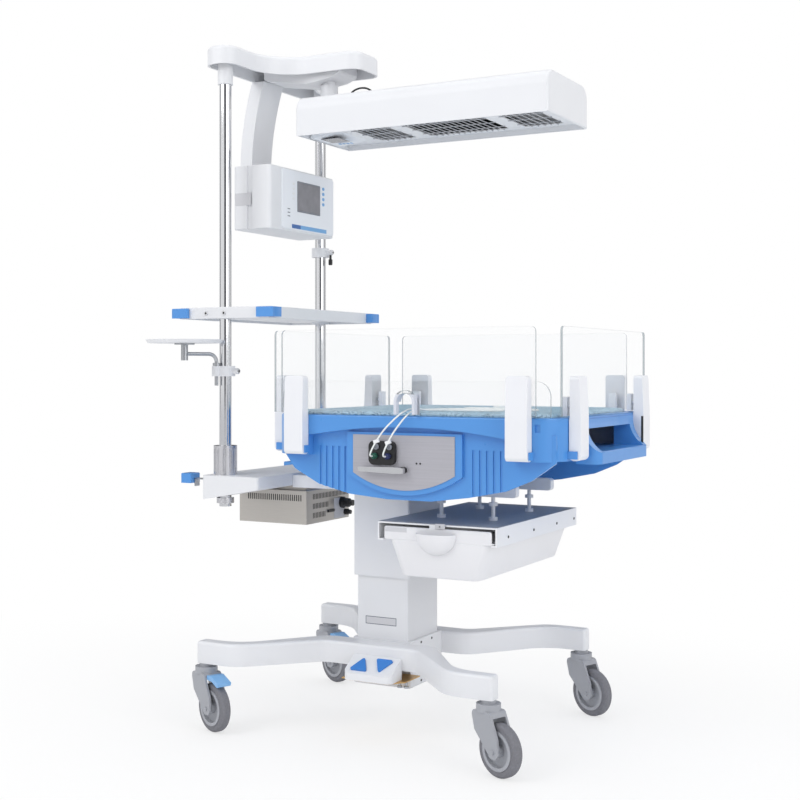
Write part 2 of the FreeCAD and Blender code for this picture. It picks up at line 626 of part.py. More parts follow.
def yoke_block(name, inset, low, high):
    plate = body(name)
    pad(plate, "XY", yoke_outline(inset), low, high)
    inner = (SIZES["yoke_arm"] / 2, SIZES["pole_x"] + SIZES["yoke_wing"] / 2)
    shift = SIZES["yoke_wall"] if inset != "0" else 0

    def concave(edge):
        spot = edge.CenterOfMass
        return (along(edge, "z") and abs(abs(spot.y) - inner[0] + shift) < 1
                and abs(spot.x - inner[1] + shift) < 1)

    soften(plate, f"yoke_blend + {inset}", concave)
    soften(plate, f"yoke_end - {inset}", lambda e: along(e, "z")
           and (abs(e.CenterOfMass.y) > SIZES["pole_y"]
                 or e.CenterOfMass.x > SIZES["pole_x"] + 150))
    return plate


def build_yoke():
    low = "yoke_top - yoke_tall"
    shell = yoke_block("YokeShell", "0", low, "yoke_top")
    soften(shell, "edge_round + 4", lambda e: level_at(e, "z", SIZES["yoke_top"]))
    hollow = yoke_block("YokeHollow", "yoke_wall", low, "yoke_top - yoke_wall")
    spine = body("YokeSpine")
    rise = "(yoke_top - yoke_tall - control_under - control_tall)"
    root = f"arm_foot - arm_thick + arm_bend - sqrt((arm_bend - arm_thick)^2 - {rise}^2) + seat"
    pad(spine, "XZ", [(root, "yoke_top - yoke_wall"), (root, low),
                      ("swivel_x - 44", f"{low} - 22"), ("swivel_x + 30", f"{low} - 12"),
                      ("swivel_x + 60", low), ("swivel_x + 60", "yoke_top - yoke_wall")],
        "-arm_wide / 2", "arm_wide / 2")
    soften(spine, "10", lambda e: along(e, "y") and e.CenterOfMass.z < SIZES["yoke_top"] - 40)
    bosses = [rod(f"Cap{i}", "z", ("pole_x", f"{sign}pole_y"), "cap_dia / 2",
                  f"{low} - cap_tall", "yoke_top - yoke_wall") for i, sign in enumerate(("-", ""))]
    bores = [rod(f"CapBore{i}", "z", ("pole_x", f"{sign}pole_y"), "pole_dia / 2 + seat",
                 f"{low} - cap_tall - 1", "yoke_top - yoke_wall") for i,
                 sign in enumerate(("-", ""))]
    pin = rod("SwivelBore", "z", ("swivel_x", "0"), "swivel_post / 2 + running",
              f"{low} - 60", "yoke_top - yoke_wall")
    keep("yoke", cut("Yoke", join("YokeJoined", cut("YokeOpen", shell, hollow), spine, *bosses),
                     pin, *bores))


# Controller on its curved arm


def build_controller():
    centre = "(arm_foot - arm_thick + arm_bend)"
    bottom = "(control_under + control_tall)"
    top = "yoke_top - yoke_tall"
    outer = rod("ArmOuter", "y", (centre, bottom), "arm_bend", "-arm_wide / 2", "arm_wide / 2")
    inner = rod("ArmInner", "y", (centre, bottom), "arm_bend - arm_thick", "-arm_wide", "arm_wide")
    window = box("ArmWindow", ("arm_foot - arm_thick - 20", "pole_x + 60"),
                 ("-arm_wide / 2", "arm_wide / 2"), (bottom, top))
    straight = box("ArmStraight", ("arm_foot - arm_thick", "arm_foot"),
                   ("-arm_wide / 2", "arm_wide / 2"), ("arm_low", bottom))
    bracket = box("ArmBracket", ("arm_foot", "control_head"),
                  ("-arm_wide / 2 + 12", "arm_wide / 2 - 12"), ("arm_low + 8", f"{bottom} - 16"))
    curve = overlap("ArmCurve", cut("ArmRing", outer, inner), window)
    keep("controller_arm", join("ControllerArm", curve, straight, bracket))

    housing = body("ControllerHousing")
    top_z = "control_under + control_tall"
    pad(housing, "XY", frame_outline("control_head", "control_foot", "control_wide / 2"),
        "control_under", top_z)
    soften(housing, "control_round", lambda e: along(e, "z"))
    soften(housing, "3", lambda e: level_at(e, "z", SIZES["control_under"] + SIZES["control_tall"])
           or level_at(e, "z", SIZES["control_under"]))
    for sign in ("-", ""):
        wall = f"{sign}control_wide / 2"
        deep = f"{wall} {'+' if sign else '-'} groove_deep"
        low, high = (wall, deep) if sign else (deep, wall)
        pocket(housing, "XZ", [("control_foot - 75", "control_under"),
                               ("control_foot - 75 + groove_wide", "control_under"),
                               ("control_foot - 75 + groove_wide", top_z),
                               ("control_foot - 75", top_z)], low, high)
    keep("controller_housing", housing)

    panel = body("ControllerPanel")
    edge = "control_wide / 2 - panel_margin - 2"
    pad(panel, "YZ", [(f"-({edge})", "control_under + panel_margin"),
                      (edge, "control_under + panel_margin"),
                      (edge, f"{top_z} - panel_margin"), (f"-({edge})", f"{top_z} - panel_margin")],
        "control_foot", "control_foot + panel_thick")
    soften(panel, "6", lambda e: along(e, "x"))
    pocket(panel, "YZ", [("screen_y - screen_wide / 2", "screen_z - screen_tall / 2"),
                         ("screen_y + screen_wide / 2", "screen_z - screen_tall / 2"),
                         ("screen_y + screen_wide / 2", "screen_z + screen_tall / 2"),
                         ("screen_y - screen_wide / 2", "screen_z + screen_tall / 2")],
           "control_foot + panel_thick / 2", "control_foot + panel_thick")
    for i in range(SIZES["key_count"]):
        pad(panel, "YZ", ("screen_y + screen_wide / 2 + 19",
                          f"screen_z + (1.5 - {i}) * key_pitch", "key_dia / 2"),
            "control_foot + panel_thick / 2", "control_foot + panel_thick + 0.8")
    keep("controller_panel", panel)


# Shelf round the poles, with corner bumpers


def corner_bumper(name, x, y, z, sign_x, sign_y):
    """An angle of soft plastic round one corner of a shelf or beam."""
    outer = box(name + "Outer", sorted_pair(x, "bumper_out", "bumper_arm", sign_x),
                sorted_pair(y, "bumper_out / 2", "bumper_arm", sign_y), (z, f"{z} + bumper_tall"))
    inner = box(name + "Inner", sorted_pair(x, "0", "bumper_arm * 2", sign_x),
                sorted_pair(y, "0", "bumper_arm * 2", sign_y),
                (f"{z} - 1", f"{z} + bumper_tall + 1"))
    return cut(name, outer, inner)


def sorted_pair(corner, out, back, sign):
    """The low and high ends of a span that reaches out of a corner and back from it."""
    low, high = (f"-({out})", back) if sign < 0 else (f"-({back})", out)
    return (f"{corner} + ({low})", f"{corner} + ({high})")


def build_shelf():
    half, low, high = "shelf_wide / 2", "shelf_under", "shelf_under + shelf_tall"
    shelf = body("Shelf")
    pad(shelf, "XY", frame_outline("shelf_head", "shelf_foot", half), low, high)
    pocket(shelf, "XY", frame_outline("shelf_head", "shelf_foot", half, "shelf_rim"),
           f"{high} - shelf_sink", high)
    pocket(shelf, "XY", frame_outline("shelf_head", "shelf_foot", half, "shelf_rim"),
           low, f"{low} + shelf_sink / 2")
    soften(shelf, "2", lambda e: level_at(e, "z", SIZES["shelf_under"] + SIZES["shelf_tall"]))
    for sign in ("-", ""):
        pad(shelf, "XY", ("pole_x", f"{sign}pole_y", "pole_dia / 2 + 9"), low, f"{high} - 4")
        pocket(shelf, "XY", ("pole_x", f"{sign}pole_y", "pole_dia / 2 + seat"), low, high)
    keep("shelf", shelf)
    parts = []
    for i, (sx, sy) in enumerate(CORNERS.values()):
        x = "shelf_foot" if sx > 0 else "shelf_head"
        parts.append(corner_bumper(f"ShelfBumper{i}", x, f"{sy} * ({half})",
                                   f"{low} + (shelf_tall - bumper_tall) / 2", sx, sy))
    for i, sign in enumerate(("-", "")):
        parts.append(box(f"BeamBumper{i}", ("beam_head - bumper_out * 2", "beam_head"),
                         (f"{sign}200 - 12", f"{sign}200 + 30"),
                         ("beam_top - bumper_tall", "beam_top")))
    keep("bumpers", group("Bumpers", *parts))


# Round instrument tray on a cranked rod


def build_tray():
    run = math.hypot(SIZES["tray_x"] - SIZES["rod_x"], SIZES["tray_y"] - SIZES["rod_y"])
    heading = math.degrees(math.atan2(SIZES["tray_y"] - SIZES["rod_y"],
                                      SIZES["tray_x"] - SIZES["rod_x"]))
    bend, top, low = SIZES["rod_bend"], SIZES["rod_top"], SIZES["rod_low"]
    corner = bend * (1 - math.sqrt(0.5))
    path = Part.Wire([
        Part.LineSegment(Vector(0, 0, low), Vector(0, 0, top - bend)).toShape(),
        Part.Arc(Vector(0, 0, top - bend), Vector(corner, 0, top - corner),
                 Vector(bend, 0, top)).toShape(),
        Part.LineSegment(Vector(bend, 0, top), Vector(run, 0, top)).toShape()])
    round_end = Part.Wire(Part.Circle(Vector(0, 0, low), Vector(0, 0, 1),
                                      SIZES["rod_dia"] / 2).toShape())
    bent = path.makePipeShell([round_end], True, False)
    hub_low, hub_top = top - SIZES["tail_tall"] / 2, SIZES["tray_under"]
    hub = Part.makeCylinder(SIZES["hub_d"] / 2 - 4, hub_top - hub_low, Vector(run, 0, hub_low))
    disc = Part.makeCylinder(SIZES["hub_d"], 4, Vector(run, 0, hub_top - 4))
    collar_low = SIZES["left_clamp_z"] + SIZES["clamp_tall"] / 2 + SIZES["running"]
    collar = Part.makeCylinder(SIZES["rod_dia"] / 2 + 5, 8, Vector(0, 0, collar_low))
    arm = doc.addObject("Part::Feature", "TrayArm")
    arm.Shape = bent.fuse([hub, disc, collar]).removeSplitter()
    arm.Placement = Placement(Vector(SIZES["rod_x"], SIZES["rod_y"], 0),
                              Rotation(Vector(0, 0, 1), heading))
    keep("tray_arm", arm)
    tray = body("RoundTray")
    spun(tray, [("0", "0"), ("tray_dia / 2 - 6", "0"), ("tray_dia / 2", "tray_lip"),
                ("tray_dia / 2 - 3", "tray_lip"), ("tray_dia / 2 - 8", "tray_thick - 2"),
                ("0", "tray_thick - 2")])
    bind(tray, Placement__Base__x="tray_x", Placement__Base__y="tray_y",
         Placement__Base__z="tray_under")
    keep("round_tray", tray)


# Drawer unit under the bars


def tapered(name, inset, low, high, low_half, high_half, low_x, high_x):
    """A tub form with four leaning sides between its floor and its mouth."""
    made = body(name)
    pad(made, "XZ", [(f"{low_x[0]} + {inset}", low), (f"{low_x[1]} - {inset}", low),
                     (f"{high_x[1]} - {inset}", high), (f"{high_x[0]} + {inset}", high)],
        f"-({high_half}) + {inset}", f"{high_half} - {inset}")
    for sign in ("-", ""):
        pocket(made, "YZ", [(f"{sign}({low_half} - {inset})", low),
                            (f"{sign}({high_half} - {inset})", high),
                            (f"{sign}({high_half} + 20)", high),
                            (f"{sign}({high_half} + 20)", low)],
               *high_x)
    return made


def build_drawer():
    half = "cover_wide / 2"
    under = "cover_top - cover_sheet"
    plate = box("CoverPlate", ("cover_head", "cover_foot"), (f"-{half}", half),
                (under, "cover_top"))
    rails = []
    for index, (wall, side) in enumerate((("cover_head", 1), ("cover_foot", -1))):
        rail = body(f"Rail{index}")
        low = "cover_top - rail_tall"
        pad(rail, "XZ", [(wall, low), (f"{wall} + {side} * rail_lip", low),
                         (f"{wall} + {side} * rail_lip", f"{low} + cover_sheet"),
                         (f"{wall} + {side} * cover_sheet", f"{low} + cover_sheet"),
                         (f"{wall} + {side} * cover_sheet", under), (wall, under)], f"-{half}",
                         half)
        rails.append(rail)
    stop = box("DrawerStop", ("(cover_head + cover_foot) / 2 - 16",
                              "(cover_head + cover_foot) / 2 + 10"),
               (f"-{half} - 3", f"-{half}"), (f"{under} - 12", "cover_top"))
    keep("drawer_cover", group("DrawerCover", plate, *rails, stop))

    lip = "cover_top - rail_tall + cover_sheet + running"
    left, right = "cover_head + drawer_step", "cover_foot - drawer_step"
    high_x, low_x = (left, right), (f"{left} + drawer_inset", f"{right} - drawer_inset")
    top_half, low_half = f"{half} - 5", f"{half} - 26"
    shell = tapered("DrawerShell", "0", "drawer_under", f"{lip} + drawer_flange", low_half,
                    top_half,
                    low_x, high_x)
    soften(shell, "16", lambda e: e.BoundBox.ZLength > 50)
    soften(shell, "8", lambda e: level_at(e, "z", SIZES["drawer_under"]))
    flange = body("DrawerFlange")
    pad(flange, "XY", frame_outline("cover_head + cover_sheet + 1", "cover_foot - cover_sheet - 1",
                                    top_half),
        lip, f"{lip} + drawer_flange")
    hollow = tapered("DrawerHollow", "drawer_wall", "drawer_under + drawer_wall",
                     f"{lip} + drawer_flange",
                     low_half, top_half, low_x, high_x)
    soften(hollow, "12", lambda e: e.BoundBox.ZLength > 50)
    centre, face = "(cover_head + cover_foot) / 2 + pull_shift", f"(-({top_half}) - pull_out + 8)"
    hood = body("DrawerPull")
    pad(hood, "XZ", (centre, "drawer_under + 100", "pull_wide / 2"), face, f"-({low_half})")
    pocket(hood, "XZ", [(f"{centre} - pull_wide", "drawer_under + 100"),
                        (f"{centre} + pull_wide", "drawer_under + 100"),
                        (f"{centre} + pull_wide", "drawer_under + 180"),
                        (f"{centre} - pull_wide", "drawer_under + 180")],
           face, f"-({low_half})")
    grip = body("DrawerPullHollow")
    pad(grip, "XZ", (centre, "drawer_under + 92", "pull_wide / 2 - drawer_wall"),
        f"{face} + drawer_wall", f"-({top_half}) + 6")
    pocket(grip, "XZ", [(f"{centre} - pull_wide", "drawer_under + 92"),
                        (f"{centre} + pull_wide", "drawer_under + 92"),
                        (f"{centre} + pull_wide", "drawer_under + 180"),
                        (f"{centre} - pull_wide", "drawer_under + 180")],
           f"{face} + drawer_wall", f"-({top_half}) + 6")
    tub = cut("DrawerTub", join("DrawerJoined", shell, flange, hood), hollow, grip)
    keep("drawer", tub)


# Heater head on its swivel


def heater_section(name, inset, low, high, ends):
    made = body(name)
    half = f"(heater_wide / 2 - {inset})"
    pad(made, "YZ", [(f"-{half}", low), (f"-{half}", high), (half, high), (half, low)], *ends)
    return made


def build_heater():
    top = SIZES["heater_top"]
    shell = heater_section("HeaterShell", "0", "heater_under", "heater_top",
                           ("heater_head", "heater_foot"))
    soften(shell, "heater_round", lambda e: along(e, "x") and abs(e.CenterOfMass.z - top) < 1)
    soften(shell, "6",
           lambda e: level_at(e, "x", SIZES["heater_foot"]) or level_at(e, "x",
                                                                        SIZES["heater_head"]))
    hollow = heater_section("HeaterHollow", "heater_wall", "heater_under",
                            "heater_top - heater_wall",
                            ("heater_head + heater_wall", "heater_foot - heater_wall"))
    soften(hollow, "heater_round - heater_wall",
           lambda e: along(e, "x") and abs(e.CenterOfMass.z - top + SIZES["heater_wall"]) < 1)
    keep("heater_housing", cut("HeaterHousing", shell, hollow))

    swivel = body("HeaterSwivel")
    low = "yoke_top - yoke_tall"
    pad(swivel, "XY", ("swivel_x + 10", "0", "swivel_flange / 2"), "heater_top",
        "heater_top + flange_tall - 14")
    pad(swivel, "XY", ("swivel_x", "0", "swivel_flange / 2 - 8"), "heater_top", f"{low} - 24")
    pad(swivel, "XY", ("swivel_x", "0", "swivel_post / 2"), "heater_top",
        "yoke_top - yoke_wall - 4")
    keep("heater_swivel", swivel)

    mouth = "heater_under + reflector_sink"
    skin = "heater_under + reflector_sink + 3"
    inside = "heater_wide / 2 - heater_wall - seat"
    plate = body("Reflector")
    pad(plate, "XY", frame_outline("heater_head + heater_wall + seat",
                                   "heater_foot - heater_wall - seat", inside),
        mouth, skin)
    spans = [("window_mid - window_main / 2", "window_mid + window_main / 2")]
    spans += [(f"window_mid + {s} * window_step - window_side / 2",
               f"window_mid + {s} * window_step + window_side / 2") for s in (-1, 1)]
    for span in spans:
        pocket(plate, "XY", frame_outline(*span, "window_wide / 2"), mouth, skin)
    trough = body("Trough")
    pad(trough, "XY", frame_outline(f"{spans[0][0]} - 3", f"{spans[0][1]} + 3",
                                    "window_wide / 2 + 3"),
        skin, f"{skin} + trough_tall")
    soften(trough, "30", lambda e: along(e, "x") and e.CenterOfMass.z > SIZES["heater_under"] + 30)
    pocket(trough, "XY", frame_outline(*spans[0], "window_wide / 2"), skin,
           f"{skin} + trough_tall - 3")
    keep("heater_reflector", join("HeaterReflector", plate, trough))

    bars = []
    for index, span in enumerate(spans):
        count = 14 if index == 0 else 6
        for i in range(1, count):
            x = f"{span[0]} + (({span[1]}) - ({span[0]})) * {i} / {count}"
            bars.append(rod(f"Bar{index}x{i}", "y", (x, f"{mouth} - grille_bar / 2"),
                            "grille_bar / 2",
                            "-window_wide / 2 - 6", "window_wide / 2 + 6"))
        for i, y in enumerate(("-60", "0", "60")):
            bars.append(rod(f"Cross{index}x{i}", "x", (y, f"{mouth} - grille_bar / 2"),
                            "grille_bar / 2", f"{span[0]} - 6", f"{span[1]} + 6"))
    grilles = [join(f"Grille{i}", *[b for b in bars if f"r{i}x" in b.Name or f"s{i}x" in b.Name])
               for i in range(3)]
    keep("heater_grilles", group("HeaterGrilles", *grilles))
    element = rod("HeaterElement", "x", ("0", f"{skin} + trough_tall / 2"), "element_dia / 2",
                  spans[0][0], spans[0][1])
    keep("heater_element", element)

    display = body("HeaterDisplay")
    left = "heater_head + heater_wall + 4"
    pad(display, "XZ", [(left, mouth), (left, "heater_under + 2"),
                        (f"{left} + 6", "heater_under + 2"),
                        (f"{left} + display_long", mouth)], "-display_wide / 2", "display_wide / 2")
    keep("heater_display", display)


# Bassinet


def rounded_block(name, x, half, z, rounding, inset="0"):
    made = body(name)
    pad(made, "XY", frame_outline(*x, half, inset), *z)
    soften(made, rounding, lambda e: along(e, "z"))
    return made


def skirt_profile():
    """The boat-shaped side of the bed, with a rounded keel."""
    return [("bed_head + 33", "post_under"), ("bed_head + 61", "post_under - 37"),
            ("bed_head + 134", "post_under - 74"), ("bed_head + 220", "post_under - 94"),
            ("tilt_x - 60", "post_under - 103"), ("tilt_x + 59", "post_under - 103"),
            ("bed_foot - 232", "post_under - 90"), ("bed_foot - 137", "post_under - 71"),
            ("bed_foot - 75", "post_under - 45"), ("bed_foot - 44", "post_under - 24"),
            ("bed_foot - 14", "post_under - 3"), ("bed_foot - 14", "rim_top - band_tall + 10"),
            ("bed_head + 33", "rim_top - band_tall + 10")]


def side_plate_form(name, long_side, bend, up, y_low, y_high, down):
    """A plate with a straight top and sides and a bowed lower edge."""
    left, right = f"plate_mid - ({long_side}) / 2", f"plate_mid + ({long_side}) / 2"
    slab = box(name + "Slab", (left, right), (y_low, y_high), (f"({down}) - 2", up))
    bow = rod(name + "Bow", "y", ("plate_mid", f"({down}) + ({bend})"), bend, y_low, y_high)
    return overlap(name, slab, bow)


def lever_spots():
    """Where the panel levers stand: side of the bed, place along it, bed edge."""
    spots = []
    for side, normal in (("front", -1), ("back", 1)):
        spots += [(side, "y", normal, place) for place in ("side_lever_head", "side_lever_foot")]
    for side, normal in (("head", -1), ("foot", 1)):
        spots += [(side, "x", normal, place) for place in ("-end_lever_y", "end_lever_y")]
    return spots


EDGE = {"front": "-(skirt_wide / 2 + rim_ledge)", "back": "(skirt_wide / 2 + rim_ledge)",
        "head": "bed_head", "foot": "bed_foot"}


def across(normal_axis, normal, side, place, reach, width):
    """The X and Y spans of something that stands out from one side of the bed."""
    low, high = reach
    edge = EDGE[side]
    span = (f"{edge} + ({low})", f"{edge} + ({high})") if normal > 0 else \
        (f"{edge} - ({high})", f"{edge} - ({low})")
    along_edge = (f"{place} - ({width}) / 2", f"{place} + ({width}) / 2")
    return (along_edge, span) if normal_axis == "y" else (span, along_edge)


def build_bassinet():
    half, band_low = "(skirt_wide / 2 + rim_ledge)", "rim_top - band_tall"
    ends = ("bed_head", "bed_foot")
    rim = rounded_block("Rim", ends, half, (band_low, "rim_top"), "corner_round")
    soften(rim, "4", lambda e: level_at(e, "z", SIZES["rim_top"]))
    posts = rounded_block("Posts", ends, half, ("post_under", band_low), "corner_round")
    gap_long = box("PostGapLong", ("bed_head + post_long", "bed_foot - post_long"),
                   (f"-{half} - 1", f"{half} + 1"), ("post_under - 1", f"{band_low}"))
    gap_wide = box("PostGapWide", ("bed_head - 1", "bed_foot + 1"),
                   (f"-{half} + post_long + 22", f"{half} - post_long - 22"),
                   ("post_under - 1", band_low))
    corner_posts = cut("CornerPosts", posts, gap_long, gap_wide)
    skirt = body("Skirt")
    pad(skirt, "XZ", skirt_profile(), "-skirt_wide / 2", "skirt_wide / 2")
    soften(skirt, "20", lambda e: along(e, "y") and e.CenterOfMass.z < SIZES["post_under"] - 10)
    ends_wall = rounded_block("EndWall", ("bed_head + 14", "bed_foot - 6"), "skirt_wide / 2",
                              ("tub_floor", "rim_top - 10"), "corner_round - 20")

    under = box("UnderHollow", ("bed_head - 10", "bed_foot + 10"),
                ("-skirt_wide / 2 + skirt_wall", "skirt_wide / 2 - skirt_wall"),
                ("post_under - 140", "tub_floor"))
    well = rounded_block("Well", ends, half, ("tub_floor + floor_thick", "rim_top + 1"),
                         "corner_round - rim_width", "rim_width")
    arches = [rod(f"Arch{i}", "y", ("(side_lever_head + side_lever_foot) / 2",
                                    f"{band_low} + arch_rise - arch_bend"), "arch_bend", *span)
              for i, span in enumerate(((f"-{half} - 1", "-skirt_wide / 2"),
                                        ("skirt_wide / 2", f"{half} + 1")))]
    arch_window = [box(f"ArchWindow{i}", ("bed_head + post_long", "bed_foot - post_long"), span,
                       (f"{band_low} - 5", f"{band_low} + arch_rise"))
                   for i, span in enumerate(((f"-{half} - 1", "-skirt_wide / 2"),
                                             ("skirt_wide / 2", f"{half} + 1")))]
    arch_cuts = [overlap(f"ArchCut{i}", a, b) for i, (a, b) in enumerate(zip(arches, arch_window))]

    shelf = body("FootShelf")
    pad(shelf, "XZ", [("bed_foot - 10", "post_under - 10"),
                      ("bed_foot + shelf_out", "post_under - 10"),
                      ("bed_foot + shelf_out", "post_under - 10 + lip_tall"),
                      ("bed_foot + 12", "rim_top - 6"), ("bed_foot - 10", "rim_top - 6")],
        "-shelf_half", "shelf_half")
    soften(shelf, "24", lambda e: along(e, "z") and e.CenterOfMass.x > SIZES["bed_foot"])
    cove = rod("FootCove", "y", ("bed_foot + shelf_out + 36", "post_under - 10 + lip_tall + 69"),
               "cove",
               "-shelf_half - 1", "shelf_half + 1")
    peg_hole = rod("PegHole", "z", ("bed_foot + 36", "peg_y"), "peg_dia / 2 + seat",
                   "post_under + peg_sink", "rim_top")
    window = box("CassetteWindow", ("bed_foot - 60", "bed_foot + 80"),
                 ("-window_half", "window_half"),
                 ("window_low", "deck_level - 2"))
    surround = side_plate_form("Surround", "plate_long + 2 * surround_edge", "plate_bend + 10",
                               "plate_up",
                               "-skirt_wide / 2 - surround_thick", "-skirt_wide / 2 + 1",
                               "plate_up - 150")
    slots = []
    for start in ("plate_mid - plate_long / 2 - 102", "plate_mid + plate_long / 2 + 40"):
        for i in range(SIZES["groove_count"]):
            left = f"{start} + {i} * groove_pitch"
            for sign in (-1, 1):
                wall = ("-skirt_wide / 2 - 1", "-skirt_wide / 2 + 3") if sign < 0 else \
                    ("skirt_wide / 2 - 3", "skirt_wide / 2 + 1")
                slots.append(box(f"Groove{len(slots)}", (left, f"{left} + groove_cut"), wall,
                                 ("post_under - 120", "post_under + 22")))
    holes = []
    for side, axis, normal, place in lever_spots():
        if axis == "y":
            outer = "bed_head + 22" if place == "side_lever_head" else "bed_foot - 22"
            spans = across(axis, normal, side, outer, ("-9", "1"), "12")
            shift = "-24" if place == "side_lever_head" else "24"
            spans = ((f"{place} + ({shift}) * 1.6 - 6", f"{place} + ({shift}) * 1.6 + 6"), spans[1])
            holes.append(box(f"SlotHole{len(holes)}", *spans, ("rim_top - 32", "rim_top - 14")))
    ears = []
    for side, axis, normal, place in lever_spots():
        for way in (-1, 1):
            spot = f"{place} + {way} * (paddle_wide / 2 + running + ear_thick / 2)"
            spans = across(axis, normal, side, spot, ("-2", "pivot_out + 7"), "ear_thick")
            ears.append(box(f"Ear{len(ears)}", *spans, ("pivot_z - 9", "pivot_z + 9")))
        length = ("-paddle_wide / 2 - ear_thick", "paddle_wide / 2 + ear_thick")
        level = f"{EDGE[side]} + {normal} * pivot_out"
        ends_at = (f"{place} + {length[0]}", f"{place} + {length[1]}")
        centre = (level, "pivot_z")
        ears.append(rod(f"EarPin{len(ears)}", "x" if axis == "y" else "y", centre, "pivot_dia / 2",
                        *ends_at))
    lugs = []
    for sign in (-1, 1):
        middle = f"{sign} * (bar_y + lug_thick + running)"
        lug = body(f"TiltLug{sign + 1}")
        pad(lug, "XZ", [("tilt_x - lug_wide", "tub_floor + 2"), ("tilt_x - 14", "tilt_z - 14"),
                        ("tilt_x + 14", "tilt_z - 14"), ("tilt_x + lug_wide", "tub_floor + 2")],
            f"{middle} - lug_thick / 2", f"{middle} + lug_thick / 2")
        pocket(lug, "XZ", ("tilt_x", "tilt_z", "tilt_pin / 2 + running"),
               f"{middle} - lug_thick / 2", f"{middle} + lug_thick / 2")
        lugs.append(lug)
    solid = join("HullSolid", rim, corner_posts, skirt, ends_wall)
    open_hull = cut("HullOpen", solid, under, well, *arch_cuts)
    full_hull = join("HullFull", open_hull, cut("FootShelfCoved", shelf, cove), surround, *lugs,
                     *ears)
    keep("bassinet_hull", cut("BassinetHull", full_hull, window, peg_hole, *slots, *holes))

    inner = ("bed_head + rim_width + running", "bed_foot - rim_width - running")
    inner_half = f"{half} - rim_width - running"
    deck = rounded_block("BedDeck", inner, inner_half, ("deck_level", "deck_level + deck_thick"),
                         "corner_round - rim_width")
    pad(deck, "XY", frame_outline("bed_head + rim_width + 20", "bed_head + rim_width + 32",
                                  f"{half} - rim_width - 20"),
        "tub_floor + floor_thick", "deck_level + 1")
    for sign in ("-", ""):
        y = f"{sign}(skirt_wide / 2 + rim_ledge - rim_width - 30)"
        pad(deck, "XZ", [("bed_head + rim_width + 20", "tub_floor + floor_thick"),
                         ("bed_foot - rim_width - 30", "tub_floor + floor_thick"),
                         ("bed_foot - rim_width - 30", "deck_level + 1"),
                         ("bed_head + rim_width + 20", "deck_level + 1")], f"{y} - 3", f"{y} + 3")
    keep("bed_deck", deck)
    soft = rounded_block("Mattress", inner, inner_half,
                         ("deck_level + deck_thick + running",
                          "deck_level + deck_thick + mattress_tall"),
                         "corner_round - rim_width", "mattress_gap")
    keep("mattress", soft)


def build_control_plate():
    face = "-skirt_wide / 2 - surround_thick"
    plate = side_plate_form("PlateForm", "plate_long", "plate_bend", "plate_up - 6",
                            f"{face} - plate_skin", face, "plate_up - 138")
    wide, tall = "sensor_wide / 2", "sensor_tall / 2"
    block = body("SensorBlock")
    corners = [(f"sensor_x - {wide}", f"sensor_z - {tall}"),
               (f"sensor_x + {wide}", f"sensor_z - {tall}"),
               (f"sensor_x + {wide}", f"sensor_z + {tall}"),
               (f"sensor_x - {wide}", f"sensor_z + {tall}")]
    skin = f"{face} - plate_skin"
    pad(block, "XZ", corners, f"{skin} - sensor_out", skin)
    soften(block, "14", lambda e: along(e, "y"))
    for i in (-1, 1):
        pocket(block, "XZ", (f"sensor_x + {i} * sensor_wide / 4", f"sensor_z - {tall} / 4",
                             "plug_dia / 2 + seat"),
               f"{skin} - sensor_out", f"{skin} - 2")
    peg = rod("FootPeg", "z", ("bed_foot + 36", "peg_y"), "peg_dia / 2",
              "post_under + peg_sink + running",
              "rim_top - 8")
    stud = body("HandleStud")
    pad(stud, "XZ", ("handle_x", "handle_z", "handle_dia / 2 + 2"), f"{skin} - handle_stand + 4",
        skin)
    keep("control_plate", plate)
    keep("bed_fittings", group("BedFittings", block, peg, stud))
    plugs = [rod(f"Plug{i}", "y", (f"sensor_x + {i} * sensor_wide / 4", f"sensor_z - {tall} / 4"),
                 "plug_dia / 2", f"{skin} - 2 - plug_long",
                 f"{skin} - 2 - running") for i in (-1, 1)]
    tips = [rod(f"Probe{i}", "x", (y, z), "probe_dia / 2",
                *sorted((x, x + way * SIZES["probe_long"])))
            for i, (way, (x, y, z)) in enumerate(((-1, GREEN_LEAD[-1]), (-1, BLUE_LEAD[-1])))]
    keep("lead_ends", group("LeadEnds", *plugs, *tips))
    lever = body("TiltHandle")
    near, far = f"{skin} - handle_stand - 6", f"{skin} - handle_stand + 4 - running"
    grip = "handle_dia / 2"
    pad(lever, "XZ", [("handle_x - handle_long", f"handle_z - {grip} + 1"),
                      ("handle_x - 20", f"handle_z - {grip} - 2"),
                      ("handle_x + 8", f"handle_z - {grip} - 1"),
                      ("handle_x + 8", f"handle_z + {grip}"),
                      ("handle_x - 20", f"handle_z + {grip} + 2"),
                      ("handle_x - handle_long", f"handle_z + {grip}")], near, far)
    soften(lever, "3", lambda e: along(e, "y"))
    keep("tilt_handle", lever)


# Clear panels and their levers


def panel_sheet(name, axis, span, level, low, high, rounding):
    """A clear sheet standing on one side, with its upper corners rounded."""
    made = body(name)
    flat = "XZ" if axis == "y" else "YZ"
    pad(made, flat, [(span[0], low), (span[1], low), (span[1], high), (span[0], high)], *level)
    top = {"sheet_top": SIZES["sheet_top"], "guard_top": SIZES["guard_top"]}[high]
    soften(made, rounding, lambda e: along(e, axis) and e.CenterOfMass.z > top - 1)
    return made


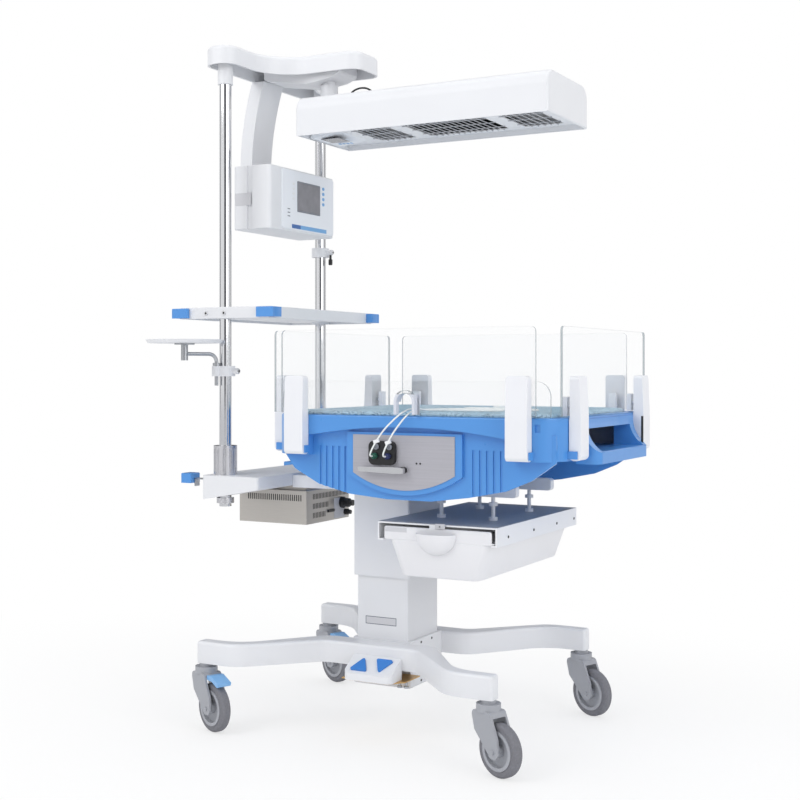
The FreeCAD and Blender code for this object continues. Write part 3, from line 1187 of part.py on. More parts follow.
def paddle(name, side, axis, normal, place):
    """A moulded lever: rounded foot on the pivot, grip outside the sheet, jaw inside it."""
    edge = EDGE[side]
    out = (lambda reach: f"{edge} + {normal} * ({reach})")
    flat = "YZ" if axis == "y" else "XZ"
    wide = (f"{place} - paddle_wide / 2", f"{place} + paddle_wide / 2")
    lever = body(name)
    pad(lever, flat, [(out("1"), "pivot_z - pivot_out + 2"),
                      (out("pivot_out * 2 - 1"), "pivot_z - pivot_out + 2"),
                      (out("paddle_deep + 1"), "sheet_low"), (out("paddle_deep - 3"), "paddle_top"),
                      (out("2 + running"), "paddle_top"), (out("2 + running"), "sheet_low - 2"),
                      (out("1"), "sheet_low - 8")], *wide)
    low = SIZES["pivot_z"] - SIZES["pivot_out"] + 2
    soften(lever, "pivot_out - 3",
           lambda e: along(e, "x" if axis == "y" else "y") and level_at(e, "z", low))
    top = SIZES["paddle_top"]
    soften(lever, "8", lambda e: level_at(e, "z", top) and not along(e,
                                                                     "x" if axis == "y" else "y"))
    pocket(lever, flat, (out("pivot_out"), "pivot_z", "pivot_dia / 2 + running"), *wide)
    stack = "(2 - 2 * sheet_thick)"
    jaw = across(axis, normal, side, place, (f"{stack} - jaw_thick", stack), "jaw_wide")
    jaw_solid = box(name + "Jaw", *jaw, ("sheet_low", "sheet_low + jaw_tall"))
    pin = [f"{edge} + {normal} * ({stack} - 1)", f"{edge} + {normal} * 6"]
    if normal < 0:
        pin.reverse()
    bolt_z = "sheet_low + jaw_tall / 2"
    bolt = rod(name + "Bolt", axis, (place, bolt_z), "bolt_dia / 2", *pin)
    return lever, jaw_solid, bolt


def build_panels():
    sheets = {
        "front": [("front_head", "front_foot", "2", "sheet_top", "sheet_round"),
                  ("guard_head", "guard_foot", "1", "guard_top", "guard_round")],
        "back": [("front_head", "front_foot", "1", "sheet_top", "sheet_round")],
        "head": [("-end_half", "end_half", "1", "sheet_top", "sheet_round")],
        "foot": [("-end_half", "end_half", "1", "sheet_top", "sheet_round")]}
    for side, parts in sheets.items():
        axis, normal = ("y" if side in ("front",
                                        "back") else "x"), (-1 if side in ("front", "head") else 1)
        made, spots = [], [spot for spot in lever_spots() if spot[0] == side]
        for index, (first, last, layer, top, rounding) in enumerate(parts):
            near, far = f"2 - {layer} * sheet_thick", f"2 - ({layer} - 1) * sheet_thick"
            level = [f"{EDGE[side]} + {normal} * ({near})", f"{EDGE[side]} + {normal} * ({far})"]
            if normal < 0:
                level.reverse()
            sheet_body = panel_sheet(f"Sheet{side}{index}", axis, (first, last), level,
                                     "sheet_low", top, rounding)
            flat = "XZ" if axis == "y" else "YZ"
            for _, _, _, place in spots:
                pocket(sheet_body, flat, (place, "sheet_low + jaw_tall / 2",
                                          "bolt_dia / 2 + seat"), *level)
            if side == "front":
                mouth = "port_wide / 2 - port_wall + running"
                pocket(sheet_body, flat, [(f"port_x - {mouth}", "sheet_low"),
                                          (f"port_x + {mouth}", "sheet_low"),
                                          (f"port_x + {mouth}",
                                           "sheet_low + port_tall - port_wide / 2"),
                                          (f"port_x - {mouth}",
                                           "sheet_low + port_tall - port_wide / 2")], *level)
                pocket(sheet_body, flat, ("port_x", "sheet_low + port_tall - port_wide / 2",
                                          mouth), *level)
            made.append(sheet_body)
        if side == "front":
            made.append(tube_port())
        keep(f"{side}_panel", group(f"Panel{side}", *made))
        levers = []
        for index, (_, _, _, place) in enumerate(spots):
            lever, jaw, bolt = paddle(f"Paddle{side}{index}", side, axis, normal, place)
            levers.append(join(f"Lever{side}{index}", lever, jaw, bolt))
        keep(f"{side}_levers", group(f"Levers{side}", *levers))


def tube_port():
    """An arched grommet with three ribs that lines the tube opening of the front sheet."""
    face = "-(skirt_wide / 2 + rim_ledge) - 2"
    spring = "sheet_low + port_tall - port_wide / 2"

    def arch(name, radius, low, high):
        legs = box(name + "Legs", (f"port_x - ({radius})", f"port_x + ({radius})"), (low, high),
                   ("sheet_low", spring))
        crown = rod(name + "Crown", "y", ("port_x", spring), radius, low, high)
        top_half = cut(name + "Top", crown, box(name + "Trim", ("port_x - port_wide",
                                                                "port_x + port_wide"),
                                                (f"{low} - 1", f"{high} + 1"),
                                                (f"{spring} - port_wide", spring)))
        return join(name, legs, top_half)

    outer = arch("PortOuter", "port_wide / 2", f"{face} - port_deep", face)
    inner = arch("PortInner", "port_wide / 2 - port_wall", f"{face} - port_deep - 1", f"{face} + 1")
    return cut("TubePort", outer, inner)


# Leads and the short heater cable


def route(points):
    """The path of a cord: straight runs joined by arcs as large as the runs allow."""
    points = [Vector(*point) for point in points]
    edges, start, radii = [], points[0], []
    for before, here, after in zip(points, points[1:], points[2:]):
        into, out = (here - before), (after - here)
        shorter = min(into.Length, out.Length)
        into.normalize()
        out.normalize()
        turn = into.getAngle(out)
        trim = 0.45 * shorter
        radii.append(trim / math.tan(turn / 2))
        arc_start, arc_end = here - into * trim, here + out * trim
        edges.append(Part.LineSegment(start, arc_start).toShape())
        bisector = (out - into)
        bisector.normalize()
        sagitta = radii[-1] * (1 / math.cos(turn / 2) - 1)
        edges.append(Part.Arc(arc_start, here + bisector * sagitta, arc_end).toShape())
        start = arc_end
    edges.append(Part.LineSegment(start, points[-1]).toShape())
    return Part.Wire(edges), min(radii)


def cord(name, points, diameter):
    wire, tightest = route(points)
    way = wire.Edges[0].tangentAt(0)
    end = Part.Wire(Part.Circle(Vector(*points[0]), way, diameter / 2).toShape())
    made = doc.addObject("Part::Feature", name)
    made.Shape = wire.makePipeShell([end], True, False)
    ideal = wire.Length * math.pi * diameter ** 2 / 4
    print(f"{name}: length {wire.Length:.0f}, tightest arc {tightest:.1f}, "
          f"volume {made.Shape.Volume / ideal:.4f} of section times length")
    return made


# Each point is (x, y, z). The leads rise from the sockets, pass the port and lie on the bed.
GREEN_LEAD = [
    (111, -337, 728.8), (111, -349, 728.8), (118, -356, 742), (134, -356, 768), (154, -355, 795),
    (176, -350, 817), (189, -339, 832), (194, -320, 839), (197, -298, 843), (199, -272, 839.4),
    (205, -236, 839.4), (214, -198, 839.4), (226, -162, 839.4), (254, -142, 839.4),
    (292, -146, 839.4), (330, -138, 839.4), (370, -142, 839.4), (402, -126, 839.4),
    (400, -98, 839.4), (366, -90, 839.4), (326, -98, 839.4), (288, -92, 839.4),
    (252, -98, 839.4), (230, -78, 839.4), (244, -52, 839.4), (282, -50, 839.4),
    (322, -56, 839.4), (352, -44, 839.4), (348, -20, 840), (322, -14, 841.4), (302, -14, 841.4)]
BLUE_LEAD = [
    (147, -337, 728.8), (147, -349, 728.8), (153, -356, 741), (164, -357, 762), (178, -356, 786),
    (194, -351, 809), (205, -340, 827), (209, -321, 837), (213, -299, 843), (224, -276, 839.4),
    (252, -262, 839.4), (288, -266, 839.4), (326, -258, 839.4), (364, -264, 839.4),
    (402, -252, 839.4), (410, -224, 839.4), (380, -212, 839.4), (342, -220, 839.4),
    (302, -212, 839.4), (266, -218, 839.4), (246, -200, 839.4), (262, -178, 839.4),
    (300, -176, 839.4), (340, -182, 839.4), (378, -172, 839.4), (412, -178, 839.4),
    (440, -196, 839.4), (470, -188, 839.4), (472, -160, 839.4), (448, -150, 841.4),
    (428, -150, 841.4)]
HEATER_CABLE = [(-132, -30, 1667.3), (-132, -30, 1678), (-123, -27, 1690), (-106, -22, 1697),
                (-88, -18, 1696), (-74, -14, 1688), (-67, -12, 1677), (-67, -12, 1667.3)]


def build_leads():
    keep("green_lead", cord("GreenLead", GREEN_LEAD, SIZES["lead_dia"]))
    keep("blue_lead", cord("BlueLead", BLUE_LEAD, SIZES["lead_dia"]))
    keep("heater_cable", cord("HeaterCable", HEATER_CABLE, SIZES["heater_cable_dia"]))


for build in (build_base, build_casters, build_pedals, build_column, build_frame, build_power_box,
              build_poles, build_yoke, build_controller, build_shelf, build_tray, build_drawer,
              build_heater, build_bassinet, build_control_plate, build_panels, build_leads):
    build()

doc.recompute()
faulty = [thing.Name for thing in doc.Objects if {"Invalid", "Error"} & set(thing.State)]
if faulty:
    raise RuntimeError(f"These objects did not compute: {faulty}")
for piece in pieces:
    if piece.Shape.isNull() or not piece.Shape.isValid() or not piece.Shape.Solids:
        raise RuntimeError(f"{piece.Label} has no sound shape")

os.makedirs("parts", exist_ok=True)
for piece in pieces:
    piece.Shape.exportStep(f"parts/{piece.Label}.step")
print(f"{len(pieces)} sub-parts written")
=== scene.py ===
# %% [markdown]
# An infant warmer: a tilting bed with clear sides under a heater head, on a column with four
# casters. The CAD model is the fixed frame, so this lesson only dresses it: first the camera
# and the loose leads, then a finish for each surface, then the small pieces that CAD leaves.

# %% Start from the frame
import math

import bmesh
import bpy
from mathutils import Matrix, Vector


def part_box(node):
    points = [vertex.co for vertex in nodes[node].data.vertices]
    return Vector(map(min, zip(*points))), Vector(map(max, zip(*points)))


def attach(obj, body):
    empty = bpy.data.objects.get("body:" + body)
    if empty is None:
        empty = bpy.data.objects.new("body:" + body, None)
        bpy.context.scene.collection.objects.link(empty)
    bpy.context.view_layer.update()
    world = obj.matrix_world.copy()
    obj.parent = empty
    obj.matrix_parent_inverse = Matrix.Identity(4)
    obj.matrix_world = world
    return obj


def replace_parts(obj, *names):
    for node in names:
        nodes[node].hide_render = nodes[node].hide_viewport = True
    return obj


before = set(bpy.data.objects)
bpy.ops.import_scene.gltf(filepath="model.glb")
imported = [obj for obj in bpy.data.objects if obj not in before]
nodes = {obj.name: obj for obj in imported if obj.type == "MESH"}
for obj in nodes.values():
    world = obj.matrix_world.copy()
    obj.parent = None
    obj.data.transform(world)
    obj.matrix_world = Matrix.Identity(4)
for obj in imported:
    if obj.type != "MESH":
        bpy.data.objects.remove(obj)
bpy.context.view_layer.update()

# %% [markdown]
# The photograph was taken level, a little under a metre up, from the foot end of the near
# side. Tilting the camera up would frame the object too, but the poles would then lean
# together, so the camera stays level and a lens shift moves the picture instead.

# %% Camera
scene = bpy.context.scene
camera_data = bpy.data.cameras.new("Camera")
camera_data.lens = 58.5
camera_data.shift_y = -0.0375
camera = bpy.data.objects.new("Camera", camera_data)
camera.location = (1.653, -3.059, 0.936)
camera.rotation_euler = (math.radians(90), 0, math.radians(28.3))
scene.collection.objects.link(camera)
scene.camera = camera
scene.view_settings.view_transform = "Standard"
print("camera at", tuple(round(v, 3) for v in camera.location), "lens", camera_data.lens)

# %% [markdown]
# A finish is a tree of shader nodes. Linking each Math node by hand hides what a sum means, so
# one small class stands for a node's output and turns + - * / < > into Math nodes.

# %% Shader sums
class Value:
    """An output of a shader node that takes part in Python sums."""

    def __init__(self, finish, socket):
        self.finish, self.socket = finish, socket

    def sum(self, operation, *terms):
        return self.finish.node("ShaderNodeMath", {"operation": operation}, dict(enumerate(terms)))

    def __add__(self, other):
        return self.sum("ADD", self, other)

    def __rsub__(self, other):
        return self.sum("SUBTRACT", other, self)

    def __mul__(self, other):
        return self.sum("MULTIPLY", self, other)

    def __truediv__(self, other):
        return self.sum("DIVIDE", self, other)

    def __gt__(self, other):
        return self.sum("GREATER_THAN", self, other)

    def __lt__(self, other):
        return self.sum("LESS_THAN", self, other)

    __radd__, __rmul__ = __add__, __mul__

    def wave(self):
        return self.sum("SINE", self)

    def size(self):
        return self.sum("ABSOLUTE", self)


# %% [markdown]
# Each material starts as an empty tree with one Principled shader. The `node` method adds any
# other node, sets it and links it, and returns its output as a Value for the next sum.

# %% A material made of named steps
class Finish:
    """A material with a Principled shader and the nodes that feed it."""

    def __init__(self, name):
        self.material = bpy.data.materials.new(name)
        self.material.use_nodes = True
        self.tree = self.material.node_tree
        self.tree.nodes.clear()
        self.surface = self.tree.nodes.new("ShaderNodeBsdfPrincipled")
        self.output = self.tree.nodes.new("ShaderNodeOutputMaterial")
        self.tree.links.new(self.surface.outputs[0], self.output.inputs[0])

    def fill(self, node, inputs):
        for key, value in inputs.items():
            if isinstance(value, Value):
                self.tree.links.new(value.socket, node.inputs[key])
            else:
                node.inputs[key].default_value = value

    def node(self, kind, settings=None, inputs=None, output=0):
        made = self.tree.nodes.new(kind)
        for key, value in (settings or {}).items():
            if key == "stops":
                ramp = made.color_ramp
                for element, (place, colour) in zip(ramp.elements, value):
                    element.position, element.color = place, colour
            else:
                setattr(made, key, value)
        self.fill(made, inputs or {})
        return Value(self, made.outputs[output])

    def place(self):
        """The point on the surface in the object's own frame, in metres."""
        return self.node("ShaderNodeTexCoord", output="Object")

    def axes(self, point=None):
        parts = self.node("ShaderNodeSeparateXYZ", inputs={0: point or self.place()})
        return [Value(self, parts.socket.node.outputs[i]) for i in range(3)]

    def vector(self, operation, first, second=(0, 0, 0)):
        output = "Value" if operation == "LENGTH" else "Vector"
        return self.node("ShaderNodeVectorMath", {"operation": operation},
                         {0: first, 1: second}, output)

    def noise(self, scale, detail=2, point=None):
        return self.node("ShaderNodeTexNoise", {}, {"Vector": point or self.place(),
                                                    "Scale": scale, "Detail": detail})

    def mix(self, factor, first, second):
        """Go from one colour to another."""
        return self.node("ShaderNodeMix", {"data_type": "RGBA", "clamp_factor": True},
                         {0: factor, 6: first, 7: second}, output=2)

    def bump(self, height, distance, strength=1.0):
        return self.node("ShaderNodeBump", {}, {"Strength": strength, "Distance": distance,
                                                "Height": height})

    def set(self, **inputs):
        """Feed the Principled shader. An underscore in a name stands for a space."""
        self.fill(self.surface, {key.replace("_", " "): value for key, value in inputs.items()})
        return self


def colour(red, green, blue, alpha=1.0):
    """A colour as it is seen on a screen, from 0 to 255, in the linear values of a shader."""
    def linear(part):
        part /= 255
        return part / 12.92 if part <= 0.04045 else ((part + 0.055) / 1.055) ** 2.4
    return (linear(red), linear(green), linear(blue), alpha)


def darker(tone, share):
    return (*(part * share for part in tone[:3]), tone[3])


# %% [markdown]
# The two sensor leads are limp white cords. They leave their plugs, climb over the bed's rim
# through the port in the clear side, and lie in loose loops on the mattress. A NURBS curve
# through the route's points bends as evenly as a real lead does.

# %% Leads
GREEN_LEAD = [
    (0.111, -0.337, 0.7288), (0.111, -0.349, 0.7288), (0.118, -0.356, 0.742),
    (0.134, -0.356, 0.768), (0.154, -0.355, 0.795), (0.176, -0.350, 0.817),
    (0.189, -0.339, 0.832), (0.194, -0.320, 0.839), (0.197, -0.298, 0.843),
    (0.199, -0.272, 0.8394), (0.205, -0.236, 0.8394), (0.214, -0.198, 0.8394),
    (0.226, -0.162, 0.8394), (0.254, -0.142, 0.8394), (0.292, -0.146, 0.8394),
    (0.330, -0.138, 0.8394), (0.370, -0.142, 0.8394), (0.402, -0.126, 0.8394),
    (0.400, -0.098, 0.8394), (0.366, -0.090, 0.8394), (0.326, -0.098, 0.8394),
    (0.288, -0.092, 0.8394), (0.252, -0.098, 0.8394), (0.230, -0.078, 0.8394),
    (0.244, -0.052, 0.8394), (0.282, -0.050, 0.8394), (0.322, -0.056, 0.8394),
    (0.352, -0.044, 0.8394), (0.348, -0.020, 0.840), (0.322, -0.014, 0.8414),
    (0.302, -0.014, 0.8414)]
BLUE_LEAD = [
    (0.147, -0.337, 0.7288), (0.147, -0.349, 0.7288), (0.153, -0.356, 0.741),
    (0.164, -0.357, 0.762), (0.178, -0.356, 0.786), (0.194, -0.351, 0.809),
    (0.205, -0.340, 0.827), (0.209, -0.321, 0.837), (0.213, -0.299, 0.843),
    (0.224, -0.276, 0.8394), (0.252, -0.262, 0.8394), (0.288, -0.266, 0.8394),
    (0.326, -0.258, 0.8394), (0.364, -0.264, 0.8394), (0.402, -0.252, 0.8394),
    (0.410, -0.224, 0.8394), (0.380, -0.212, 0.8394), (0.342, -0.220, 0.8394),
    (0.302, -0.212, 0.8394), (0.266, -0.218, 0.8394), (0.246, -0.200, 0.8394),
    (0.262, -0.178, 0.8394), (0.300, -0.176, 0.8394), (0.340, -0.182, 0.8394),
    (0.378, -0.172, 0.8394), (0.412, -0.178, 0.8394), (0.440, -0.196, 0.8394),
    (0.470, -0.188, 0.8394), (0.472, -0.160, 0.8394), (0.448, -0.150, 0.8414),
    (0.428, -0.150, 0.8414)]

rubber_white = Finish("lead_jacket")
wear = rubber_white.noise(180)
rubber_white.set(Base_Color=rubber_white.mix(wear, colour(226, 230, 228), colour(246, 248, 246)),
                 Roughness=0.32 + wear * 0.2)


# %% [markdown]
# Small turned pieces such as plugs, screws and knobs are profiles spun about an axis. One
# helper does that, and another makes the flat rounded plates of keys, screens and labels.
# Both give closed meshes, so the model has no stray faces.

# %% Helpers for small pieces
def piece_from(name, bm, body, finish, smooth=35):
    """Turn a bmesh into a piece of the object that rides on a body."""
    bmesh.ops.remove_doubles(bm, verts=bm.verts, dist=1e-6)
    bmesh.ops.recalc_face_normals(bm, faces=bm.faces)
    mesh = bpy.data.meshes.new(name)
    bm.to_mesh(mesh)
    bm.free()
    mesh.shade_smooth()
    mesh.set_sharp_from_angle(angle=math.radians(smooth))
    mesh.materials.append(finish.material)
    piece = bpy.data.objects.new(name, mesh)
    scene.collection.objects.link(piece)
    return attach(piece, body)


def turn_to(direction, at):
    """The matrix that stands +Z along a direction at a point."""
    return Matrix.Translation(at) @ Vector(direction).to_track_quat("Z", "Y").to_matrix().to_4x4()


def add_turned(bm, profile, direction, at, steps=24):
    """Spin (radius, height) pairs about a direction and add the solid to a bmesh."""
    matrix = turn_to(direction, at)
    rings = []
    for radius, height in profile:
        if radius < 1e-6:
            rings.append([bm.verts.new(matrix @ Vector((0, 0, height)))])
        else:
            rings.append([bm.verts.new(matrix @ Vector((radius * math.cos(math.tau * i / steps),
                                                        radius * math.sin(math.tau * i / steps),
                                                        height))) for i in range(steps)])
    for low, high in zip(rings, rings[1:]):
        for i in range(steps):
            j = (i + 1) % steps
            corners = [low[i % len(low)], low[j % len(low)],
                       high[j % len(high)], high[i % len(high)]]
            unique = list(dict.fromkeys(corners))
            if len(unique) > 2:
                bm.faces.new(unique)
    for ring in (rings[0], rings[-1]):
        if len(ring) > 1:
            bm.faces.new(ring)


def turned(name, profile, direction, at, body, finish, steps=24):
    bm = bmesh.new()
    add_turned(bm, profile, direction, at, steps)
    return piece_from(name, bm, body, finish)


def rounded_outline(half_x, half_y, corner, steps):
    """The points round a rectangle with rounded corners, about its middle."""
    points = []
    for sx, sy, start in ((1, 1, 0), (-1, 1, 90), (-1, -1, 180), (1, -1, 270)):
        for i in range(steps + 1):
            angle = math.radians(start + 90 * i / steps)
            points.append((sx * (half_x - corner) + corner * math.cos(angle),
                           sy * (half_y - corner) + corner * math.sin(angle)))
    return points


def skin(bm, rings):
    """Join a stack of equal rings into a solid with a flat face at each end."""
    for lower, upper in zip(rings, rings[1:]):
        for i in range(len(lower)):
            j = (i + 1) % len(lower)
            bm.faces.new([lower[i], lower[j], upper[j], upper[i]])
    bm.faces.new(rings[0][::-1])
    bm.faces.new(rings[-1])


def add_plate(bm, centre, across, up, wide, tall, thick, corner, steps=5):
    """Add a plate with rounded corners that stands out from a face by its thickness."""
    across, up = Vector(across).normalized(), Vector(up).normalized()
    out = across.cross(up)
    rim = rounded_outline(wide / 2, tall / 2, corner, steps)
    soft = min(thick * 0.4, corner * 0.5)
    layers = [(0, 0), (0, thick - soft), (soft, thick)]
    rings = [[bm.verts.new(Vector(centre) + across * (x - math.copysign(inset, x))
                           + up * (y - math.copysign(inset, y)) + out * level) for x, y in rim]
             for inset, level in layers]
    skin(bm, rings)


def plate(name, centre, across, up, wide, tall, thick, corner, body, finish):
    bm = bmesh.new()
    add_plate(bm, centre, across, up, wide, tall, thick, corner)
    return piece_from(name, bm, body, finish)


# %% [markdown]
# Each lead starts in a coloured plug at the socket block and ends in a small probe. Both are
# turned from a profile of radii and heights, which gives the plug its grip rings. The cord is
# a curve with a round bevel rather than a mesh, so its length can be measured along it.

# %% Plugs, probes and cords
def speckled(name, scale, dark, light, roughness):
    """Plastic whose tone wavers between two close colours."""
    finish = Finish(name)
    return finish.set(Base_Color=finish.mix(finish.noise(scale), dark, light),
                      Roughness=roughness)


plug_green = speckled("plug_green", 300, colour(16, 74, 60), colour(28, 96, 78), 0.45)
plug_blue = speckled("plug_blue", 300, colour(26, 34, 74), colour(38, 48, 98), 0.45)
probe_white = speckled("probe_white", 200, colour(222, 224, 222), colour(240, 241, 240), 0.4)

PLUG_LONG = 0.0217
PLUG = [(0, 0.0), (0.0070, 0.0), (0.0074, 0.001), (0.0074, 0.009), (0.0068, 0.0095),
        (0.0068, 0.0105), (0.0074, 0.011), (0.0074, 0.0125), (0.0068, 0.013), (0.0068, 0.014),
        (0.0074, 0.0145), (0.0074, 0.016), (0.0055, 0.019), (0.0030, PLUG_LONG), (0, PLUG_LONG)]
PROBE = [(0, 0), (0.0028, 0), (0.0038, 0.002), (0.0038, 0.013), (0.003, 0.0155), (0, 0.0158)]


def lead_with_ends(name, points, plug_finish):
    start, end = Vector(points[0]), Vector(points[-1])
    plug = turned(f"{name}_plug", PLUG, (0, -1, 0), start + Vector((0, PLUG_LONG, 0)), "bed",
                  plug_finish)
    probe = turned(f"{name}_probe", PROBE, end - Vector(points[-2]), end, "bed", probe_white)
    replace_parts(plug, "lead_ends")
    curve = bpy.data.curves.new(f"{name}_cord", "CURVE")
    curve.dimensions, curve.bevel_depth, curve.bevel_resolution = "3D", 0.002, 3
    curve.use_fill_caps = True
    spline = curve.splines.new("NURBS")
    spline.points.add(len(points) - 1)
    for point, place in zip(spline.points, points):
        point.co = (*place, 1)
    spline.order_u, spline.use_endpoint_u, spline.resolution_u = 3, True, 8
    cord = bpy.data.objects.new(f"{name}_cord", curve)
    scene.collection.objects.link(cord)
    curve.materials.append(rubber_white.material)
    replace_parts(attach(cord, "bed"), name)


lead_with_ends("green_lead", GREEN_LEAD, plug_green)
lead_with_ends("blue_lead", BLUE_LEAD, plug_blue)
print("leads through", len(GREEN_LEAD), "and", len(BLUE_LEAD), "points")

# %% [markdown]
# Moulded housings are off-white plastic with a fine spark-eroded grain. One even colour would
# be simpler, but a perfectly even white looks like paper. So the grain is a bump under a tenth
# of a millimetre deep, and the tone drifts very slightly over a hand's width.

# %% Moulded plastics
def moulded(name, tone, roughness=0.42, grain=0.00008, scale=900, drift=0.05, coat=0.0):
    finish = Finish(name)
    patch, fine = finish.noise(6), finish.noise(scale, 3)
    scuff = finish.noise(40, 5)
    shade = finish.mix(patch, darker(tone, 1 - drift), tone)
    finish.set(Base_Color=shade, Roughness=roughness - 0.06 + scuff * 0.12,
               Normal=finish.bump(fine, grain), Coat_Weight=coat, Coat_Roughness=0.08)
    return finish


white_plastic = moulded("white_plastic", colour(230, 231, 234))
blue_plastic = moulded("blue_plastic", colour(80, 148, 220), 0.3, 0.00003, 500, 0.06, coat=0.25)
pale_lever = moulded("lever_plastic", colour(236, 237, 241), 0.34, 0.00004)
grey_plastic = moulded("caster_plastic", colour(166, 168, 174), 0.4)
black_plastic = moulded("black_plastic", colour(22, 23, 26), 0.35, 0.00005)

# %% [markdown]
# Powder-coated steel and castings have a soft orange-peel surface and a slightly higher gloss
# than plastic. The base is also darker low down, in grey patches. Painting that by hand would
# fix its place, so a mask that fades with the height above the floor lays it on instead.

# %% Painted metal
def powder_coat(name, tone, darken_top=0.0):
    finish = Finish(name)
    peel, speck = finish.noise(260, 2), finish.noise(1500, 1)
    shade = finish.mix(finish.noise(5), darker(tone, 0.96), tone)
    if darken_top:
        # The tone darkens in noise patches towards the floor, up to the given height.
        height = finish.axes()[2]
        low_darkening = (1 - height / darken_top) * finish.noise(30, 6)
        shade = finish.mix(low_darkening, shade, darker(tone, 0.62))
    finish.set(Base_Color=shade, Roughness=0.3 + peel * 0.12,
               Normal=finish.bump(peel + speck * 0.1, 0.00025, 0.6))
    return finish


painted_steel = powder_coat("painted_steel", colour(228, 229, 232))
painted_casting = powder_coat("painted_casting", colour(230, 231, 234), 0.2)

# %% [markdown]
# The bright metals are chrome tube, brushed steel and the satin silver plate. Brushing runs
# one way. An anisotropic shader could show that, but noise that is stretched along the piece
# and squeezed across it bakes better and also varies the tone.

# %% Bare metals
def metal(name, tone, roughness, stretch=(400, 400, 6), depth=0.00002):
    finish = Finish(name)
    streak = finish.noise(1, 2, finish.vector("MULTIPLY", finish.place(), stretch))
    finish.set(Base_Color=finish.mix(streak, darker(tone, 0.9), tone), Metallic=1.0,
               Roughness=roughness + streak * 0.08, Normal=finish.bump(streak, depth))
    return finish


chrome = metal("chrome_tube", colour(226, 227, 230), 0.06, (60, 60, 6), 0.0)
steel = metal("bare_steel", colour(184, 186, 190), 0.28)
silver_plate = Finish("silver_plate")
brush = silver_plate.noise(1, 2, silver_plate.vector("MULTIPLY", silver_plate.place(),
                                                     (8, 500, 500)))
silver_plate.set(Base_Color=silver_plate.mix(brush, colour(164, 163, 170), colour(182, 181, 188)),
                 Metallic=0.25, Roughness=0.36 + brush * 0.1)

# %% [markdown]
# The sides are clear acrylic 6 mm thick. Seen through its face it is almost invisible, and
# its sawn edges are grey lines. Real refraction would be slow and noisy for thin sheets, so
# alpha gives both: low on the faces, and high where the normal turns away from the sheet's.
# The front side has a milky plastic port for the leads, told apart by its place.

# %% Clear sheets
PORT_SIDES, PORT_TOP = (0.1712, 0.2288), 0.878


def acrylic(name, facing, port=False):
    finish = Finish(name)
    normal = finish.node("ShaderNodeTexCoord", output="Normal")
    along = finish.axes(normal)[facing].size()
    edge = 1 - along
    smear = finish.noise(14, 4)
    sheet = finish.mix(edge, colour(232, 236, 240), colour(140, 152, 158))
    alpha = 0.05 + edge * 0.62
    if port:
        x, _, z = finish.axes()
        milky = (x > PORT_SIDES[0]) * (x < PORT_SIDES[1]) * (z < PORT_TOP)
        sheet = finish.mix(milky, sheet, colour(226, 229, 238))
        alpha = alpha * (1 - milky) + milky * 0.8
    finish.set(Base_Color=sheet, Roughness=0.1 + smear * 0.06, Alpha=alpha, IOR=1.3)
    return finish


clear_side, clear_end = acrylic("clear_side", 1), acrylic("clear_end", 0)
clear_front = acrylic("clear_front", 1, port=True)

# %% [markdown]
# A caster wheel is one node: a soft grey tyre moulded on a lighter disc. Two materials on
# chosen faces could tell them apart, but the distance from the axle does it without picking
# any. It is the length of the cross product of the offset from the hub with the axle.

# %% Caster wheels
AXLE = (math.sin(math.radians(22)), math.cos(math.radians(22)), 0)
TRAIL, HUB_HIGH, DISC_RADIUS = 0.040, 0.0625, 0.0461


def wheel_finish(name, stem_x, stem_y):
    finish = Finish(name)
    hub = (stem_x + TRAIL * AXLE[1], stem_y - TRAIL * AXLE[0], HUB_HIGH)
    offset = finish.vector("SUBTRACT", finish.place(), hub)
    reach = finish.vector("LENGTH", finish.vector("CROSS_PRODUCT", offset, AXLE))
    tyre = reach > DISC_RADIUS
    grit = finish.noise(220, 5)
    tread = finish.mix(grit, colour(104, 104, 110), colour(134, 134, 140))
    disc = finish.mix(grit, colour(158, 160, 166), colour(178, 180, 186))
    finish.set(Base_Color=finish.mix(tyre, disc, tread), Roughness=0.42 + tyre * 0.25,
               Normal=finish.bump(grit, 0.0002, 0.5))
    return finish


# %% [markdown]
# Membrane panels are printed film with a satin gloss, and the screens behind it are grey
# glass. The film is a moulded plastic with hardly any grain. The glass has a thin clear coat
# over a dull ground, because a switched-off display is not black but grey.

# %% Films, screens and covers
film = moulded("panel_film", colour(240, 243, 248), 0.3, 0.00002)
screen = Finish("screen_glass")
ripple = screen.noise(30)
screen.set(Base_Color=screen.mix(ripple, colour(112, 112, 118), colour(138, 137, 143)),
           Roughness=0.16, Coat_Weight=0.2)
key_blue = moulded("key_blue", colour(64, 110, 176), 0.3)
print_white = moulded("print_white", colour(238, 239, 241), 0.4)
quartz = Finish("quartz_tube")
quartz.set(Base_Color=quartz.mix(quartz.noise(60), colour(190, 182, 172), colour(222, 214, 206)),
           Roughness=0.18, Coat_Weight=0.5)
cable_black = moulded("cable_black", colour(26, 27, 30), 0.5)
pad_blue = moulded("pad_blue", colour(60, 132, 214), 0.35, 0.0001)
brake_blue = moulded("brake_blue", colour(128, 182, 232), 0.3, coat=0.3)
box_metal = metal("box_metal", colour(194, 190, 185), 0.4, (30, 400, 400))

# %% [markdown]
# Three CAD nodes each join two materials, and the height on the surface tells which is which.
# The drawer's cover is bare steel above its white rails, the heater's lining turns from a
# white panel into dark troughs behind the windows, and the pedal unit stands on brass.

# %% Finishes that change with height
def two_tone(name, level, below, above, metal_below, metal_above, roughness=0.34):
    """Go from one tone and metal to another at a height, given in metres."""
    finish = Finish(name)
    over = finish.axes()[2] > level
    fine = finish.noise(400, 3)
    finish.set(Base_Color=finish.mix(over, below, above), Roughness=roughness - 0.05 + fine * 0.12,
               Metallic=over * (metal_above - metal_below) + metal_below,
               Normal=finish.bump(fine, 0.00004))
    return finish


